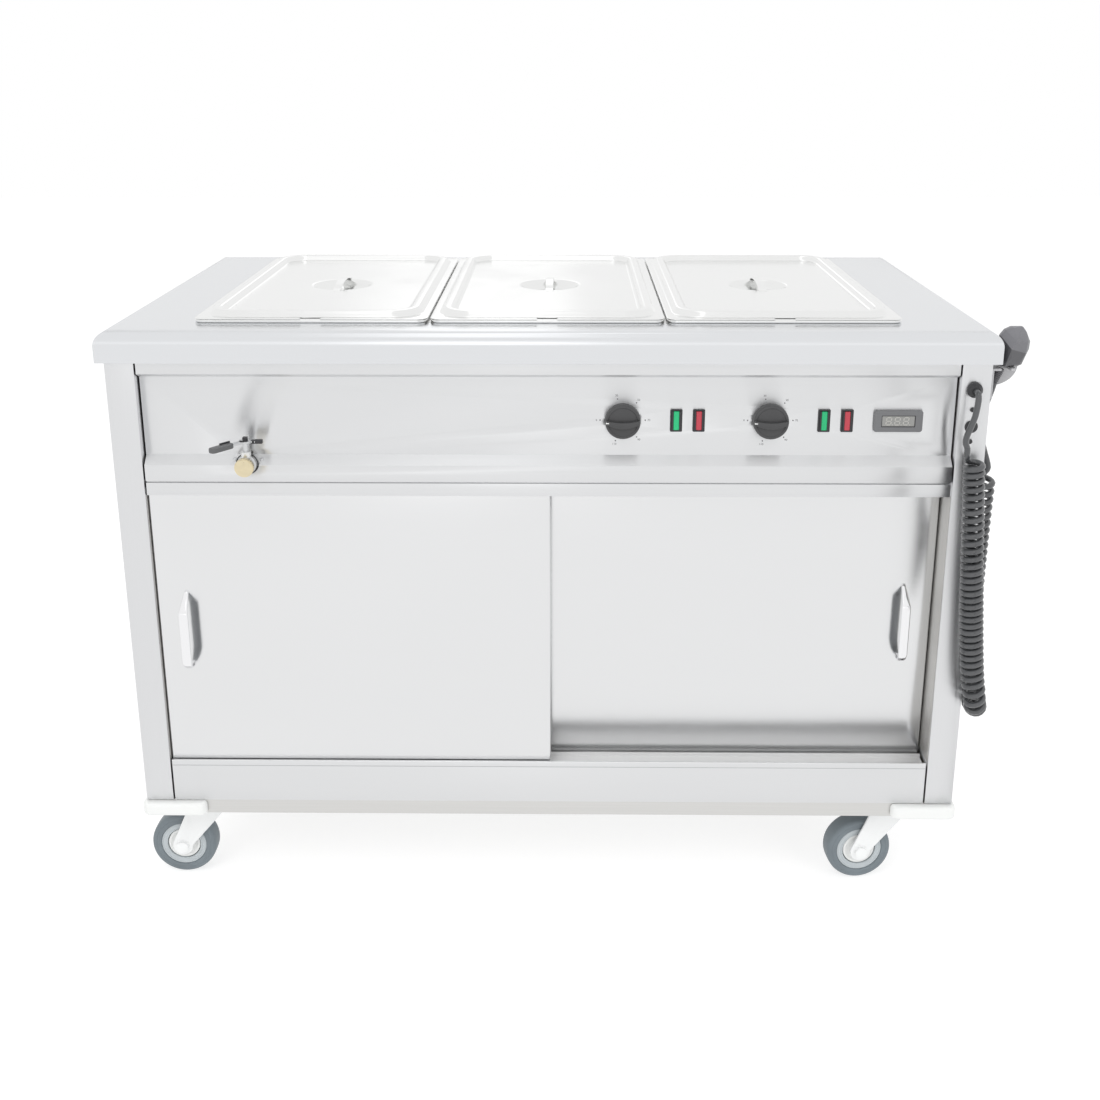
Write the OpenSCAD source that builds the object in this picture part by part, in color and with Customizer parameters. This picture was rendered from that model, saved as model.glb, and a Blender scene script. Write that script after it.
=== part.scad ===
// Mobile serving counter: a heated cupboard with a three-pan wet well on top.
// Millimetres, +Z up, front faces -Y. The origin is on the floor, under the
// middle of the whole counter.

/* [Body] */
// Width of the cabinet body, outside the side panels
body_w = 1200; // [1190:2:1240]
// Depth of the cabinet body
body_d = 634; // [628:2:660]
// Height of the worktop surface above the floor
worktop_z = 880; // [875:1:900]
// Thickness of the folded panels
sheet = 1.5; // [1.2:0.1:1.8]
// Thickness of the inner liners
liner = 1.2; // [0.8:0.1:1.4]
// Width of the front return of each side panel, seen as a post
post_w = 40; // [38:1:43]
// Gap between the posts and the panels that lie between them
shut_gap = 2.5; // [1.5:0.5:3]
// Thickness of the insulation behind the rear liner
rear_insulation = 38; // [30:1:44]

/* [Worktop] */
// Overhang of the worktop past the side panels
side_overhang = 10; // [8:1:14]
// Overhang of the worktop past the front and the back
front_overhang = 8; // [6:1:12]
// Height of the rolled nosing
nosing_h = 43; // [40:1:46]
// Radius of the rolled edge
nosing_r = 20; // [14:1:22]
// Height of the stiffening channels under the worktop
stiffener_h = 20; // [16:1:24]

/* [Well, pans and lids] */
// Length of a pan flange, front to back
pan_l = 530; // [524:1:534]
// Width of a pan flange
pan_w = 325; // [320:1:326]
// Distance from one pan to the next
pan_pitch = 328; // [327.5:0.5:330]
// Depth of a pan below its flange
pan_h = 150; // [100:5:155]
// Height of the flange's turned edge
pan_edge = 5; // [4:0.5:6]
// Sheet thickness of the pans and lids
pan_sheet = 1; // [0.8:0.1:1.2]
// Height of the lid's raised rim above its flange
lid_rise = 8; // [6:1:11]
// Diameter of the grip dish in a lid
dish_d = 92; // [84:2:110]
// Depth of the grip dish in a lid
dish_h = 14; // [10:1:18]
// Width of the strap across the lid's grip
strap_w = 12; // [8:1:16]
// Depth of the water tank below the worktop surface
tank_h = 172; // [170:1:176]
// Diameter of the heating rods
element_d = 8.5; // [7.5:0.5:10]

/* [Controls] */
// Height of the control centre line below the worktop surface
controls_drop = 127; // [122:1:132]
// Depth of the fascia's sunk face
recess = 12; // [10:1:14]
// Diameter of a knob's skirt
knob_d = 53; // [46:1:56]
// Height of a knob
knob_h = 18; // [16:1:22]
// Diameter of a thermostat spindle
spindle_d = 6; // [6:0.5:8]
// Width of a lamp frame
lamp_w = 16.5; // [15:0.5:18]
// Height of a lamp frame
lamp_h = 32; // [28:1:36]
// Width of the display frame
display_w = 68; // [60:1:74]
// Height of the display frame
display_h = 32; // [28:1:36]

/* [Doors] */
// Thickness of a door
door_t = 22; // [18:1:24]
// Overlap of the two closed doors
door_overlap = 9; // [6:1:14]
// Length of a door handle
handle_l = 116; // [100:2:130]
// How far a handle's bow stands out of its door
handle_proud = 27; // [24:1:30]
// Width of a handle's bow
handle_w = 13; // [10:1:16]

/* [Drain] */
// Diameter of the drain pipe
drain_pipe_d = 21; // [19:1:22]
// Length of the drain lever's long arm
lever_l = 58; // [50:1:60]

/* [Castors] */
// Diameter of the wheels
wheel_d = 100; // [94:1:102]
// Width of the tyres
wheel_w = 30; // [26:1:32]
// Trail of the wheels behind their swivel axes
trail = 45; // [42:1:48]
// Distance from the swivel axes to the outside of the body's sides
swivel_in_x = 76; // [72:1:84]
// Distance from the swivel axes to the outside of the body's front and back
swivel_in_y = 67; // [62:1:72]
// Diameter of the axle bolts
axle_d = 10; // [8:0.5:12]
// Running clearance on the radius of pins and spindles
run_fit = 0.05; // [0.03:0.01:0.08]

/* [Hidden] */
$fn = 48;
// A cut reaches this far past the face that it opens
eps = 1;
// Gap between pieces that are laid or pushed together
seat = 0.3;

// Heights of the body
wheel_r = wheel_d / 2;
castor_h = 140;
rail_h = 23;
body_z = castor_h + rail_h;
deck_z = worktop_z - sheet - stiffener_h;
// The front plane of the body; the whole is centred on the origin in depth
door_set = 4;
door_step = 38;
half_w = body_w / 2;
// The drain lever's reach out of the front, and the bumpers' out of the back
lever_reach = 50.5;
bumper_reach = 10;
mid_y = (lever_reach - bumper_reach) / 2;
front = mid_y - body_d / 2;
back = mid_y + body_d / 2;
jamb_x = half_w - post_w;
panel_x = jamb_x - shut_gap;
// Levels and depths of the cupboard
track_z = 220;
plinth_top = 230;
floor_z = 226;
header_z = 646;
header_top = 664.5;
ceiling_z = 665;
front_door_y = front + door_set;
rear_door_y = front_door_y + door_step;
track_back = rear_door_y + door_t + 6;
rear_liner_y = back - 2 * sheet - rear_insulation - liner;
door_z = track_z + 4;
door_top = header_z + 10;
door_w = panel_x + door_overlap / 2;

// A flat folded from a list of points: each run is t thick, on the left of the way
function unit(v) = v / norm(v);
function left_of(v) = [-v[1], v[0]];
function side(p, i) = left_of(unit(p[i + 1] - p[i]));
function mitre(a, b) = (a + b) / (1 + a * b);
function away(p, i) = i == 0 ? side(p, 0)
    : i == len(p) - 1 ? side(p, i - 1)
    : mitre(side(p, i - 1), side(p, i));
function fold(p, t) = concat(p, [for (i = [len(p) - 1:-1:0]) p[i] + t * away(p, i)]);

// A profile of depth and height, drawn along X between -half and half
module along_x(half) {
    translate([-half, 0, 0]) rotate([90, 0, 90]) linear_extrude(2 * half) children();
}

// A profile of X and height, drawn along Y from y0 to y1
module along_y(y0, y1) {
    translate([0, y1, 0]) rotate([90, 0, 0]) linear_extrude(y1 - y0) children();
}

// A box between two corners
module block(a, b) {
    translate(a) cube(b - a);
}

// A rectangle with round corners, centred
module round_rect(w, l, r) {
    square([w - 2 * r, l], center = true);
    square([w, l - 2 * r], center = true);
    for (sx = [-1, 1], sy = [-1, 1]) translate([sx * (w / 2 - r), sy * (l / 2 - r)]) circle(r);
}

// A closed skin through rings of points, each ring turning the same way
module skin(rings) {
    n = len(rings[0]);
    m = len(rings);
    polyhedron(points = [for (q = rings) each q],
        faces = concat(
            [for (i = [0:m - 2], k = [0:n - 1]) let (a = i * n + k, b = i * n + (k + 1) % n) [a, a + n, b]],
            [for (i = [0:m - 2], k = [0:n - 1]) let (a = i * n + k, b = i * n + (k + 1) % n)
                [b, a + n, b + n]],
            [[for (k = [0:n - 1]) k]],
            [[for (k = [n - 1:-1:0]) (m - 1) * n + k]]));
}

// The same thing on both sides of the middle plane
module both_sides() {
    children();
    mirror([1, 0, 0]) children();
}

// A cylinder along +Y, from y0 to y1
module pin_y(x, z, d, y0, y1) {
    translate([x, y0, z]) rotate([-90, 0, 0]) cylinder(d = d, h = y1 - y0);
}

// Worktop: one sheet with a rolled nosing, mitred at the corners
top_half_w = half_w + side_overhang;
top_half_d = body_d / 2 + front_overhang;
opening_rest = 4;
opening_w = 2 * pan_pitch + pan_w - 2 * opening_rest;
opening_l = pan_l - 2 * opening_rest;
opening_r = 10;
stiffener_w = 22;

module nosing_profile(half, r, z0, z1) {
    translate([-half, z0]) square([2 * half, z1 - r - z0]);
    translate([-(half - r), z0]) square([2 * (half - r), z1 - z0]);
    for (s = [-1, 1]) translate([s * (half - r), z1 - r]) circle(r);
}

module nosing_form(inset, z0) {
    intersection() {
        along_y(-top_half_d, top_half_d)
            nosing_profile(top_half_w - inset, nosing_r - inset, z0, worktop_z - inset);
        along_x(top_half_w) nosing_profile(top_half_d - inset, nosing_r - inset, z0, worktop_z - inset);
    }
}

module stiffener(half) {
    h = stiffener_h;
    along_x(half) polygon(fold([[-stiffener_w / 2, h], [-stiffener_w / 2, 0], [stiffener_w / 2, 0],
        [stiffener_w / 2, h]], sheet));
}

module worktop() {
    nosing_z = worktop_z - nosing_h;
    color("gainsboro") translate([0, mid_y, 0]) {
        difference() {
            nosing_form(0, nosing_z);
            nosing_form(sheet, nosing_z + sheet);
            block([-half_w, -body_d / 2, nosing_z - eps], [half_w, body_d / 2, nosing_z + 2 * sheet]);
            translate([0, 0, worktop_z - 2 * sheet]) linear_extrude(3 * sheet)
                round_rect(opening_w, opening_l, opening_r);
        }
        for (s = [-1, 1]) {
            translate([0, s * (body_d / 2 - 16), deck_z]) stiffener(half_w - 60);
            translate([s * (half_w - 16), 0, deck_z]) rotate([0, 0, 90]) stiffener(body_d / 2 - 30);
        }
    }
}

// Water tank, welded to the underside of the worktop
tank_floor = worktop_z - tank_h;
tank_rim = 15;
drain_x = -414;
outlet_y = front + 90;
outlet_d = 18;
element_z = tank_floor + 8;
element_pitch = 120;
element_bend = -330;
element_hole = element_d + 2 * seat;

module well_tank() {
    rim_z = worktop_z - sheet;
    color("silver") translate([0, mid_y, 0]) difference() {
        union() {
            translate([0, 0, tank_floor - sheet]) linear_extrude(rim_z - tank_floor + sheet)
                round_rect(opening_w + 2 * sheet, opening_l + 2 * sheet, opening_r + sheet);
            translate([0, 0, rim_z - sheet]) linear_extrude(sheet)
                round_rect(opening_w + 2 * tank_rim, opening_l + 2 * tank_rim, opening_r + tank_rim);
        }
        translate([0, 0, tank_floor]) linear_extrude(tank_h) round_rect(opening_w, opening_l, opening_r);
        translate([drain_x, outlet_y - mid_y, tank_floor - 2 * sheet]) cylinder(d = outlet_d, h = 4 * sheet);
        for (s = [-1, 1]) translate([opening_w / 2 - eps, s * element_pitch / 2, element_z])
            rotate([0, 90, 0]) cylinder(d = element_hole, h = 3 * sheet + eps);
    }
}

// Bars across the well, under the flanges where two pans meet
bar_w = 18;
bar_h = 8;

module cross_bars() {
    color("silver") for (s = [-1, 1]) translate([s * pan_pitch / 2, mid_y, worktop_z - bar_h])
        along_y(-opening_l / 2, opening_l / 2)
            polygon(fold([[bar_w / 2, 0], [bar_w / 2, bar_h], [-bar_w / 2, bar_h], [-bar_w / 2, 0]], sheet));
}

// A hairpin of heating rod: two runs along X to x1, joined by a half ring at x0
module hairpin(x0, x1, pitch, d) {
    for (s = [-1, 1]) translate([x0, s * pitch / 2, 0]) rotate([0, 90, 0]) cylinder(d = d, h = x1 - x0);
    translate([x0, 0, 0]) rotate([0, 0, 90]) rotate_extrude(angle = 180)
        translate([pitch / 2, 0]) circle(d = d);
}

nut_d = 18;
nut_h = 6;

module well_element() {
    wall_x = opening_w / 2;
    color("dimgray") translate([0, mid_y, element_z]) {
        hairpin(element_bend, wall_x + 18, element_pitch, element_d);
        for (s = [-1, 1], x = [wall_x - nut_h, wall_x + sheet]) translate([x, s * element_pitch / 2, 0])
            rotate([0, 90, 0]) rotate(30) cylinder(d = nut_d, h = nut_h, $fn = 6);
    }
}

// Side panels: one sheet each, folded into a post at the front and a return at the back
flange = 30;
back_return = 25;
gland_z = 800;
gland_x = half_w - 22;
stud_zs = [772, 727];
round_plug_z = 748;
gland_hole = 15;
stud_hole = 4.2;
round_plug_hole = 13;

module side_panel() {
    translate([0, 0, body_z]) linear_extrude(deck_z - body_z) polygon(fold([
        [jamb_x, track_back], [jamb_x, front], [half_w, front], [half_w, back],
        [half_w - back_return, back]], sheet));
    for (z = [body_z, deck_z - sheet])
        block([half_w - flange, front + sheet / 2, z], [half_w - sheet / 2, back - sheet / 2, z + sheet]);
}

module left_side_panel() {
    color("gainsboro") mirror([1, 0, 0]) side_panel();
}

module right_side_panel() {
    color("gainsboro") difference() {
        side_panel();
        pin_y(gland_x, gland_z, gland_hole, front - eps, front + 2 * sheet);
        pin_y(gland_x, round_plug_z, round_plug_hole, front - eps, front + 2 * sheet);
        for (z = stud_zs) pin_y(gland_x, z, stud_hole, front - eps, front + 2 * sheet);
    }
}

module back_panel() {
    y = back - 2 * sheet;
    color("silver") {
        block([-half_w + 2 * sheet, y, body_z + sheet], [half_w - 2 * sheet, y + sheet, deck_z - sheet]);
        block([-half_w + 2 * flange, y - flange, deck_z - sheet], [half_w - 2 * flange, y + sheet, deck_z]);
    }
}

module base_panel() {
    color("silver") difference() {
        block([-half_w + flange, front + flange, body_z],
            [half_w - flange, back - 2 * sheet, body_z + sheet]);
        both_sides() block([jamb_x - seat, front, body_z - eps],
            [half_w, track_back + seat, body_z + 2 * sheet]);
    }
}

// Cupboard: liners with shelf runners, floor, ceiling and one shelf
shelf_z = 440;
runner_w = 14;
fold_h = 20;

module side_liner() {
    block([jamb_x, track_back, floor_z - fold_h], [jamb_x + liner, rear_liner_y + liner, ceiling_z + liner]);
    translate([0, 0, shelf_z - fold_h]) along_y(track_back + 20, rear_liner_y - 20)
        polygon(fold([[jamb_x, 0], [jamb_x - liner, 0], [jamb_x - liner, fold_h],
            [jamb_x - runner_w, fold_h]],
            -liner));
}

module cupboard_liners() {
    color("silver") {
        both_sides() side_liner();
        block([-jamb_x, rear_liner_y, floor_z - fold_h], [jamb_x, rear_liner_y + liner, ceiling_z + liner]);
    }
}

module cupboard_floor() {
    color("silver") along_x(jamb_x) polygon(fold([[track_back, floor_z - fold_h], [track_back, floor_z],
        [rear_liner_y, floor_z]], -liner));
}

module cupboard_ceiling() {
    color("silver") along_x(jamb_x) polygon(fold([[track_back, header_z], [track_back, ceiling_z + liner],
        [rear_liner_y, ceiling_z + liner]], -liner));
}

slot_l = 90;
slot_w = 12;

module mid_shelf() {
    shelf_x = jamb_x - 5;
    y0 = track_back + 20;
    y1 = rear_liner_y - 5;
    color("gainsboro") difference() {
        along_x(shelf_x) polygon(fold([[y0, shelf_z - 16], [y0, shelf_z + liner + sheet],
            [y1, shelf_z + liner + sheet], [y1, shelf_z - 16]], -sheet));
        for (sx = [-1, 1]) block([sx * shelf_x - runner_w - 8, y0 - eps, shelf_z - 20],
            [sx * shelf_x + runner_w + 8, y1 + eps, shelf_z + liner]);
        for (i = [-3:3], j = [-1:1]) translate([i * 140, (y0 + y1) / 2 + j * 130, shelf_z])
            linear_extrude(10) round_rect(slot_l, slot_w, slot_w / 2 - 0.1);
    }
}

// Insulation: two sides, rear, under the floor and over the ceiling
module insulation_slabs() {
    y0 = track_back + 2;
    y1 = rear_liner_y + liner;
    z0 = body_z + sheet + seat;
    color("khaki") {
        both_sides()
            block([jamb_x + sheet + seat, y0, z0], [half_w - sheet - seat, y1, deck_z - sheet - seat]);
        block([-half_w + flange, y1 + seat, z0], [half_w - flange, back - 2 * sheet - seat, ceiling_z]);
        block([-jamb_x, y0, z0], [jamb_x, y1 - liner - seat, floor_z - liner - seat]);
        block([-jamb_x, y0, ceiling_z + liner + seat], [jamb_x, y1 - liner - seat, ceiling_z + liner + 10]);
    }
}

// Control fascia: a strip, a sunk face between two slopes, and a ledge
face_y = front + recess;
control_z = worktop_z - controls_drop;
fascia_z = header_top + 2;
strip_h = 38.5;
sunk_top = deck_z - strip_h - 6;
sunk_z = 696;
slope_h = 6;
drain_z = 693;
drain_hole = 31;
knob_xs = [104, 306.5];
lamp_xs = [177.5, 208.5, 380, 411.5];
display_x = 481;
lamp_cut_w = lamp_w - 3.5;
lamp_cut_h = lamp_h - 3.5;
display_cut_w = display_w - 6;
display_cut_h = display_h - 5;
bush_d = spindle_d + 4;

module fascia_cut(w, h) {
    rotate([90, 0, 0]) linear_extrude(4 * sheet, center = true) square([w, h], center = true);
}

module control_fascia() {
    color("gainsboro") difference() {
        along_x(panel_x) polygon(fold([[front + flange, deck_z], [front, deck_z], [front, deck_z - strip_h],
            [face_y, sunk_top], [face_y, sunk_z], [front, sunk_z - slope_h], [front, fascia_z],
            [front + flange, fascia_z]], sheet));
        pin_y(drain_x, drain_z, drain_hole, front - eps, face_y + 3 * sheet);
        for (x = knob_xs) pin_y(x, control_z, bush_d + 2 * seat, face_y - eps, face_y + 2 * sheet);
        for (x = lamp_xs) translate([x, face_y, control_z]) fascia_cut(lamp_cut_w, lamp_cut_h);
        translate([display_x, face_y, control_z]) fascia_cut(display_cut_w, display_cut_h);
    }
}

// Door header: two grooves for the door tops
module door_header() {
    web = fascia_z;
    lip_y = (front_door_y + door_t + rear_door_y) / 2;
    color("gainsboro") along_x(panel_x) {
        translate([front, header_z]) square([sheet, header_top - header_z]);
        translate([front, header_z]) square([2 * sheet, 4]);
        translate([front, header_top - sheet]) square([5, sheet]);
        translate([front + 5 - sheet, header_top - sheet]) square([sheet, web - header_top + sheet]);
        translate([front + 5 - sheet, web - sheet]) square([track_back - front - 5 + sheet, sheet]);
        translate([lip_y - 1, header_z]) square([2, web - header_z - sheet / 2]);
        translate([track_back - sheet, header_z]) square([sheet, web - header_z]);
    }
}

// Bottom track and plinth
module bottom_track() {
    lip_y = (front_door_y + door_t + rear_door_y) / 2;
    color("gainsboro") along_x(panel_x) {
        translate([front + sheet, track_z - sheet]) square([track_back - front - sheet, sheet]);
        translate([lip_y - 1.5, track_z - sheet / 2]) square([3, 6]);
        translate([track_back - sheet, floor_z - fold_h]) square([sheet, fold_h]);
    }
}

module plinth_rail() {
    color("gainsboro") along_x(panel_x) {
        translate([front, body_z]) square([sheet, plinth_top - body_z]);
        translate([front, body_z]) square([flange - 2, sheet]);
        translate([front, plinth_top - 4]) square([2 * sheet, 4]);
    }
}

// Cupboard heater: a hairpin on two saddles, fixed to the right liner
heater_z = floor_z + 16;
heater_y = rear_liner_y - 90;
heater_pitch = 90;

module cupboard_element() {
    color("dimgray") {
        translate([0, heater_y, heater_z]) {
            hairpin(-400, jamb_x - 3, heater_pitch, element_d);
            translate([jamb_x - 3, -heater_pitch / 2 - 14, -12]) cube([3, heater_pitch + 28, 24]);
        }
        for (x = [-300, 100]) translate([x, heater_y - heater_pitch / 2 - 8, floor_z]) difference() {
            cube([8, heater_pitch + 16, heater_z - floor_z + 4]);
            translate([-eps, 16, -eps]) cube([8 + 2 * eps, heater_pitch - 16, heater_z - floor_z - 4]);
        }
    }
}

// Thermostats behind the fascia, with a bush round each spindle
thermostat_w = 38;
thermostat_h = 24;

module thermostats() {
    back_y = face_y + sheet;
    color("whitesmoke") for (x = knob_xs) difference() {
        union() {
            block([x - thermostat_w / 2, back_y, control_z - thermostat_w / 2],
                [x + thermostat_w / 2, back_y + thermostat_h, control_z + thermostat_w / 2]);
            pin_y(x, control_z, bush_d, face_y, back_y + eps);
        }
        pin_y(x, control_z, spindle_d + 2 * run_fit, face_y - eps, back_y + 16);
    }
}

module terminal_block() {
    x = display_x + display_w / 2 + 18;
    y = face_y + sheet;
    color("white") difference() {
        block([x - 11, y, control_z - 36], [x + 11, y + 20, control_z + 36]);
        for (i = [-2:2]) pin_y(x, control_z + i * 14, 6, y + 14, y + 20 + eps);
    }
}

// Neon lamps: a frame with a long body behind, and a lens that clips into it
lens_w = lamp_w - 5;
lens_h = lamp_h - 5;
lamp_proud = 2;

module lamp_bezels() {
    color("black") for (x = lamp_xs) translate([x, face_y, control_z]) rotate([90, 0, 0]) difference() {
        union() {
            linear_extrude(lamp_proud) round_rect(lamp_w, lamp_h, 1.5);
            translate([0, 0, -24]) linear_extrude(25)
                square([lamp_cut_w - 2 * seat, lamp_cut_h - 2 * seat], center = true);
        }
        translate([0, 0, -4]) linear_extrude(10)
            square([lens_w + 2 * seat, lens_h + 2 * seat], center = true);
    }
}

module lamp_lenses() {
    for (i = [0:3]) color(i % 2 == 0 ? "green" : "red") translate([lamp_xs[i], face_y, control_z])
        rotate([90, 0, 0]) {
            translate([0, 0, -4]) linear_extrude(4 + lamp_proud) square([lens_w, lens_h], center = true);
            translate([0, 0, lamp_proud]) intersection() {
                translate([-lens_w / 2, -lens_h / 2, -eps / 2]) cube([lens_w, lens_h, 4]);
                translate([0, lens_h / 2, 2 - 40]) rotate([90, 0, 0]) cylinder(r = 40, h = lens_h, $fn = 96);
            }
        }
}

// Display: frame with a body behind, and a sunk window
window_w = 45;
window_h = 18;
bezel_proud = 4;

module display_bezel() {
    color("black") translate([display_x, face_y, control_z]) rotate([90, 0, 0]) difference() {
        union() {
            linear_extrude(bezel_proud) round_rect(display_w, display_h, 2);
            translate([0, 0, -34]) linear_extrude(35)
                square([display_cut_w - 2 * seat, display_cut_h - 2 * seat], center = true);
        }
        translate([0, 0, bezel_proud - 3]) linear_extrude(4)
            round_rect(window_w + 2 * seat, window_h + 2 * seat, 1);
    }
}

module display_window() {
    color("darkslategray") translate([display_x, face_y, control_z]) rotate([90, 0, 0])
        translate([0, 0, bezel_proud - 3]) linear_extrude(2) round_rect(window_w, window_h, 1);
}

// Drain: outlet elbow and tail pipe, ball valve, lever and loose cap
valve_y = front - 4;
valve_back = front + 34;
valve_d = 27;
nose_d = 19;
nose_y = front - 19;
cap_d = 26;
cap_y = front - 22;
stem_d = 7;
stem_z = drain_z + 19;
lever_z = drain_z + 32;
lever_t = 2.5;
lever_turn = 231;
sleeve_w = 13;
short_arm = 24;

module drain_valve() {
    boss_d = drain_pipe_d + 8;
    color("silver") {
        difference() {
            union() {
                translate([drain_x, outlet_y, drain_z])
                    cylinder(d = drain_pipe_d, h = tank_floor - sheet - drain_z);
                translate([drain_x, outlet_y, tank_floor - sheet - 3]) cylinder(d = boss_d, h = 3);
                translate([drain_x, outlet_y, drain_z]) sphere(d = drain_pipe_d);
                pin_y(drain_x, drain_z, drain_pipe_d, valve_back, outlet_y);
            }
            translate([drain_x, outlet_y, drain_z]) cylinder(d = drain_pipe_d - 5, h = tank_h);
            pin_y(drain_x, drain_z, drain_pipe_d - 5, valve_back - eps, outlet_y);
        }
        difference() {
            union() {
                translate([drain_x, valve_back, drain_z]) rotate([90, 0, 0])
                    cylinder(d = valve_d, h = 14, $fn = 6);
                pin_y(drain_x, drain_z, valve_d - 4, valve_y - 10, valve_back - 10);
                translate([drain_x, valve_y, drain_z]) sphere(d = valve_d);
                pin_y(drain_x, drain_z, nose_d, nose_y, valve_y);
                translate([drain_x, valve_y, drain_z]) cylinder(d = 14, h = stem_z - drain_z);
            }
            pin_y(drain_x, drain_z, 13, nose_y - eps, valve_back + eps);
            translate([drain_x, valve_y, drain_z + 10]) cylinder(d = stem_d + 2 * run_fit, h = 20);
        }
    }
}

module drain_lever() {
    arm_r = sleeve_w / 2;
    color("silver") translate([drain_x, valve_y, 0]) {
        translate([0, 0, drain_z + 12]) cylinder(d = stem_d, h = lever_z - drain_z - 4);
        translate([0, 0, lever_z + lever_t]) cylinder(d = 12, h = 5, $fn = 6);
        translate([0, 0, lever_z]) {
            cylinder(d = 18, h = lever_t);
            rotate([0, 0, lever_turn]) {
                translate([0, -5, 0]) cube([24, 10, lever_t]);
                translate([0, 0, -2]) linear_extrude(lever_t + 4) {
                    translate([21, -arm_r]) square([lever_l - arm_r - 21, sleeve_w]);
                    translate([lever_l - arm_r, 0]) circle(arm_r);
                }
            }
            translate([0, -3, 0]) cube([12, 6, lever_t]);
            translate([10, -3, -1.5]) cube([short_arm - 10, 6, lever_t + 3]);
        }
    }
}

module drain_cap() {
    wall = 2.5;
    color("burlywood") difference() {
        union() {
            pin_y(drain_x, drain_z, cap_d - 2, cap_y, cap_y + 2);
            pin_y(drain_x, drain_z, cap_d, cap_y + 1, cap_y + 8);
        }
        pin_y(drain_x, drain_z, nose_d + 2 * run_fit, cap_y + wall, cap_y + 9);
        for (a = [0:15:345]) translate([drain_x, cap_y, drain_z]) rotate([-90, a, 0])
            translate([cap_d / 2 + 0.3, 0, 2]) cylinder(r = 0.8, h = 7, $fn = 13);
    }
}

// Chassis: folded channels, open at the top
rail_t = 2.5;
rail_in = 6;
rail_w = 110;
side_rail_w = 40;
swivel_x = half_w - swivel_in_x;
swivel_y = body_d / 2 - swivel_in_y;
plate_w = 105;
plate_l = 84;
plate_t = 3;
bolt_px = 40;
bolt_py = 30;
bolt_d = 8;
corners = [[-1, -1], [1, -1], [-1, 1], [1, 1]];

module at_bolts() {
    for (c = corners, bx = [-1, 1], by = [-1, 1])
        translate([c[0] * swivel_x + bx * bolt_px, mid_y + c[1] * swivel_y + by * bolt_py, 0]) children();
}

module channel(half, w) {
    along_x(half) polygon(fold([[0, rail_h], [0, 0], [w, 0], [w, rail_h]], rail_t));
}

module chassis_frame() {
    rail_x = half_w - rail_in;
    cross_d = body_d - 4 - 2 * rail_w;
    color("silver") difference() {
        union() {
            translate([0, front + 2, castor_h]) channel(rail_x, rail_w);
            translate([0, back - 2 - rail_w, castor_h]) channel(rail_x, rail_w);
            both_sides() translate([rail_x, mid_y, castor_h]) rotate([0, 0, 90])
                channel(cross_d / 2 - seat, side_rail_w);
        }
        at_bolts() translate([0, 0, castor_h - eps]) cylinder(d = bolt_d + 2 * seat, h = rail_t + 2 * eps);
    }
}

// Bumpers: an L of white plastic round each corner, with a rounded nose
bumper_t = 12;
bumper_leg = 72;
bumper_h = rail_h - 1.5;
bumper_r = 5.5;

module bumper_profile() {
    square([bumper_t - bumper_r, bumper_h]);
    translate([0, bumper_r]) square([bumper_t, bumper_h - 2 * bumper_r]);
    for (z = [bumper_r, bumper_h - bumper_r]) translate([bumper_t - bumper_r, z]) circle(bumper_r);
}

module bumper() {
    rotate_extrude(angle = 90) bumper_profile();
    translate([0, -bumper_leg, 0]) {
        rotate([90, 0, 180]) linear_extrude(bumper_leg) mirror([1, 0, 0]) bumper_profile();
        rotate([0, 0, -90]) rotate_extrude(angle = 90) bumper_profile();
    }
    translate([-bumper_leg, 0, 0]) {
        rotate([90, 0, 90]) linear_extrude(bumper_leg) bumper_profile();
        rotate([0, 0, 90]) rotate_extrude(angle = 90) bumper_profile();
    }
}

module corner_bumpers() {
    color("white") for (c = corners)
        translate([c[0] * (half_w - rail_in), mid_y + c[1] * (body_d / 2 - 2), castor_h])
            mirror([c[0] < 0 ? 1 : 0, 0, 0]) mirror([0, c[1] < 0 ? 1 : 0, 0]) bumper();
}

// Castors
king_d = 12;
race_d = 56;
race_z = castor_h - plate_t - 6;
crown_z = race_z - seat - 7;
crown_d = 62;
leg_t = 3;
leg_in = wheel_w / 2 + 2.5;
brake_pin = [-8, 112];
brake_pin_d = 6;
// Where each castor points: the wheel trails at 180 degrees and this turn
yaws = [0, 6, -9, 13];

module at_castor(i) {
    c = corners[i];
    translate([c[0] * swivel_x, mid_y + c[1] * swivel_y, 0]) rotate([0, 0, yaws[i]]) children();
}

module caster_plates() {
    color("lightgray") for (c = corners)
        translate([c[0] * swivel_x, mid_y + c[1] * swivel_y, 0]) difference() {
        union() {
            translate([0, 0, castor_h - plate_t]) linear_extrude(plate_t) round_rect(plate_w, plate_l, 6);
            translate([0, 0, race_z]) cylinder(d = race_d, h = castor_h - race_z - eps);
            translate([0, 0, crown_z - 5]) cylinder(d = king_d, h = castor_h - crown_z);
            translate([0, 0, crown_z - 5]) cylinder(d = king_d + 8, h = 4.5);
        }
        for (bx = [-1, 1], by = [-1, 1]) translate([bx * bolt_px, by * bolt_py, castor_h - plate_t - eps])
            cylinder(d = bolt_d + 2 * seat, h = plate_t + 2 * eps);
    }
}

module caster_bolts() {
    color("silver") at_bolts() {
        translate([0, 0, castor_h - plate_t - 5]) cylinder(d = 15, h = 5, $fn = 6);
        translate([0, 0, castor_h - plate_t - eps]) cylinder(d = bolt_d, h = plate_t + rail_t + 10);
        translate([0, 0, castor_h + rail_t]) cylinder(d = 15, h = 6.5, $fn = 6);
    }
}

// Fork: a dished crown, two sloping legs and the axle bolt
module leg_outline() {
    polygon([[-27, crown_z + 5], [-trail - 14, wheel_r + 6], [-trail - 12, wheel_r - 10],
        [-trail + 12, wheel_r - 10], [-trail + 16, wheel_r + 2], [22, crown_z - 12], [25, crown_z + 5]]);
    translate([-trail, wheel_r]) circle(15);
}

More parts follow.
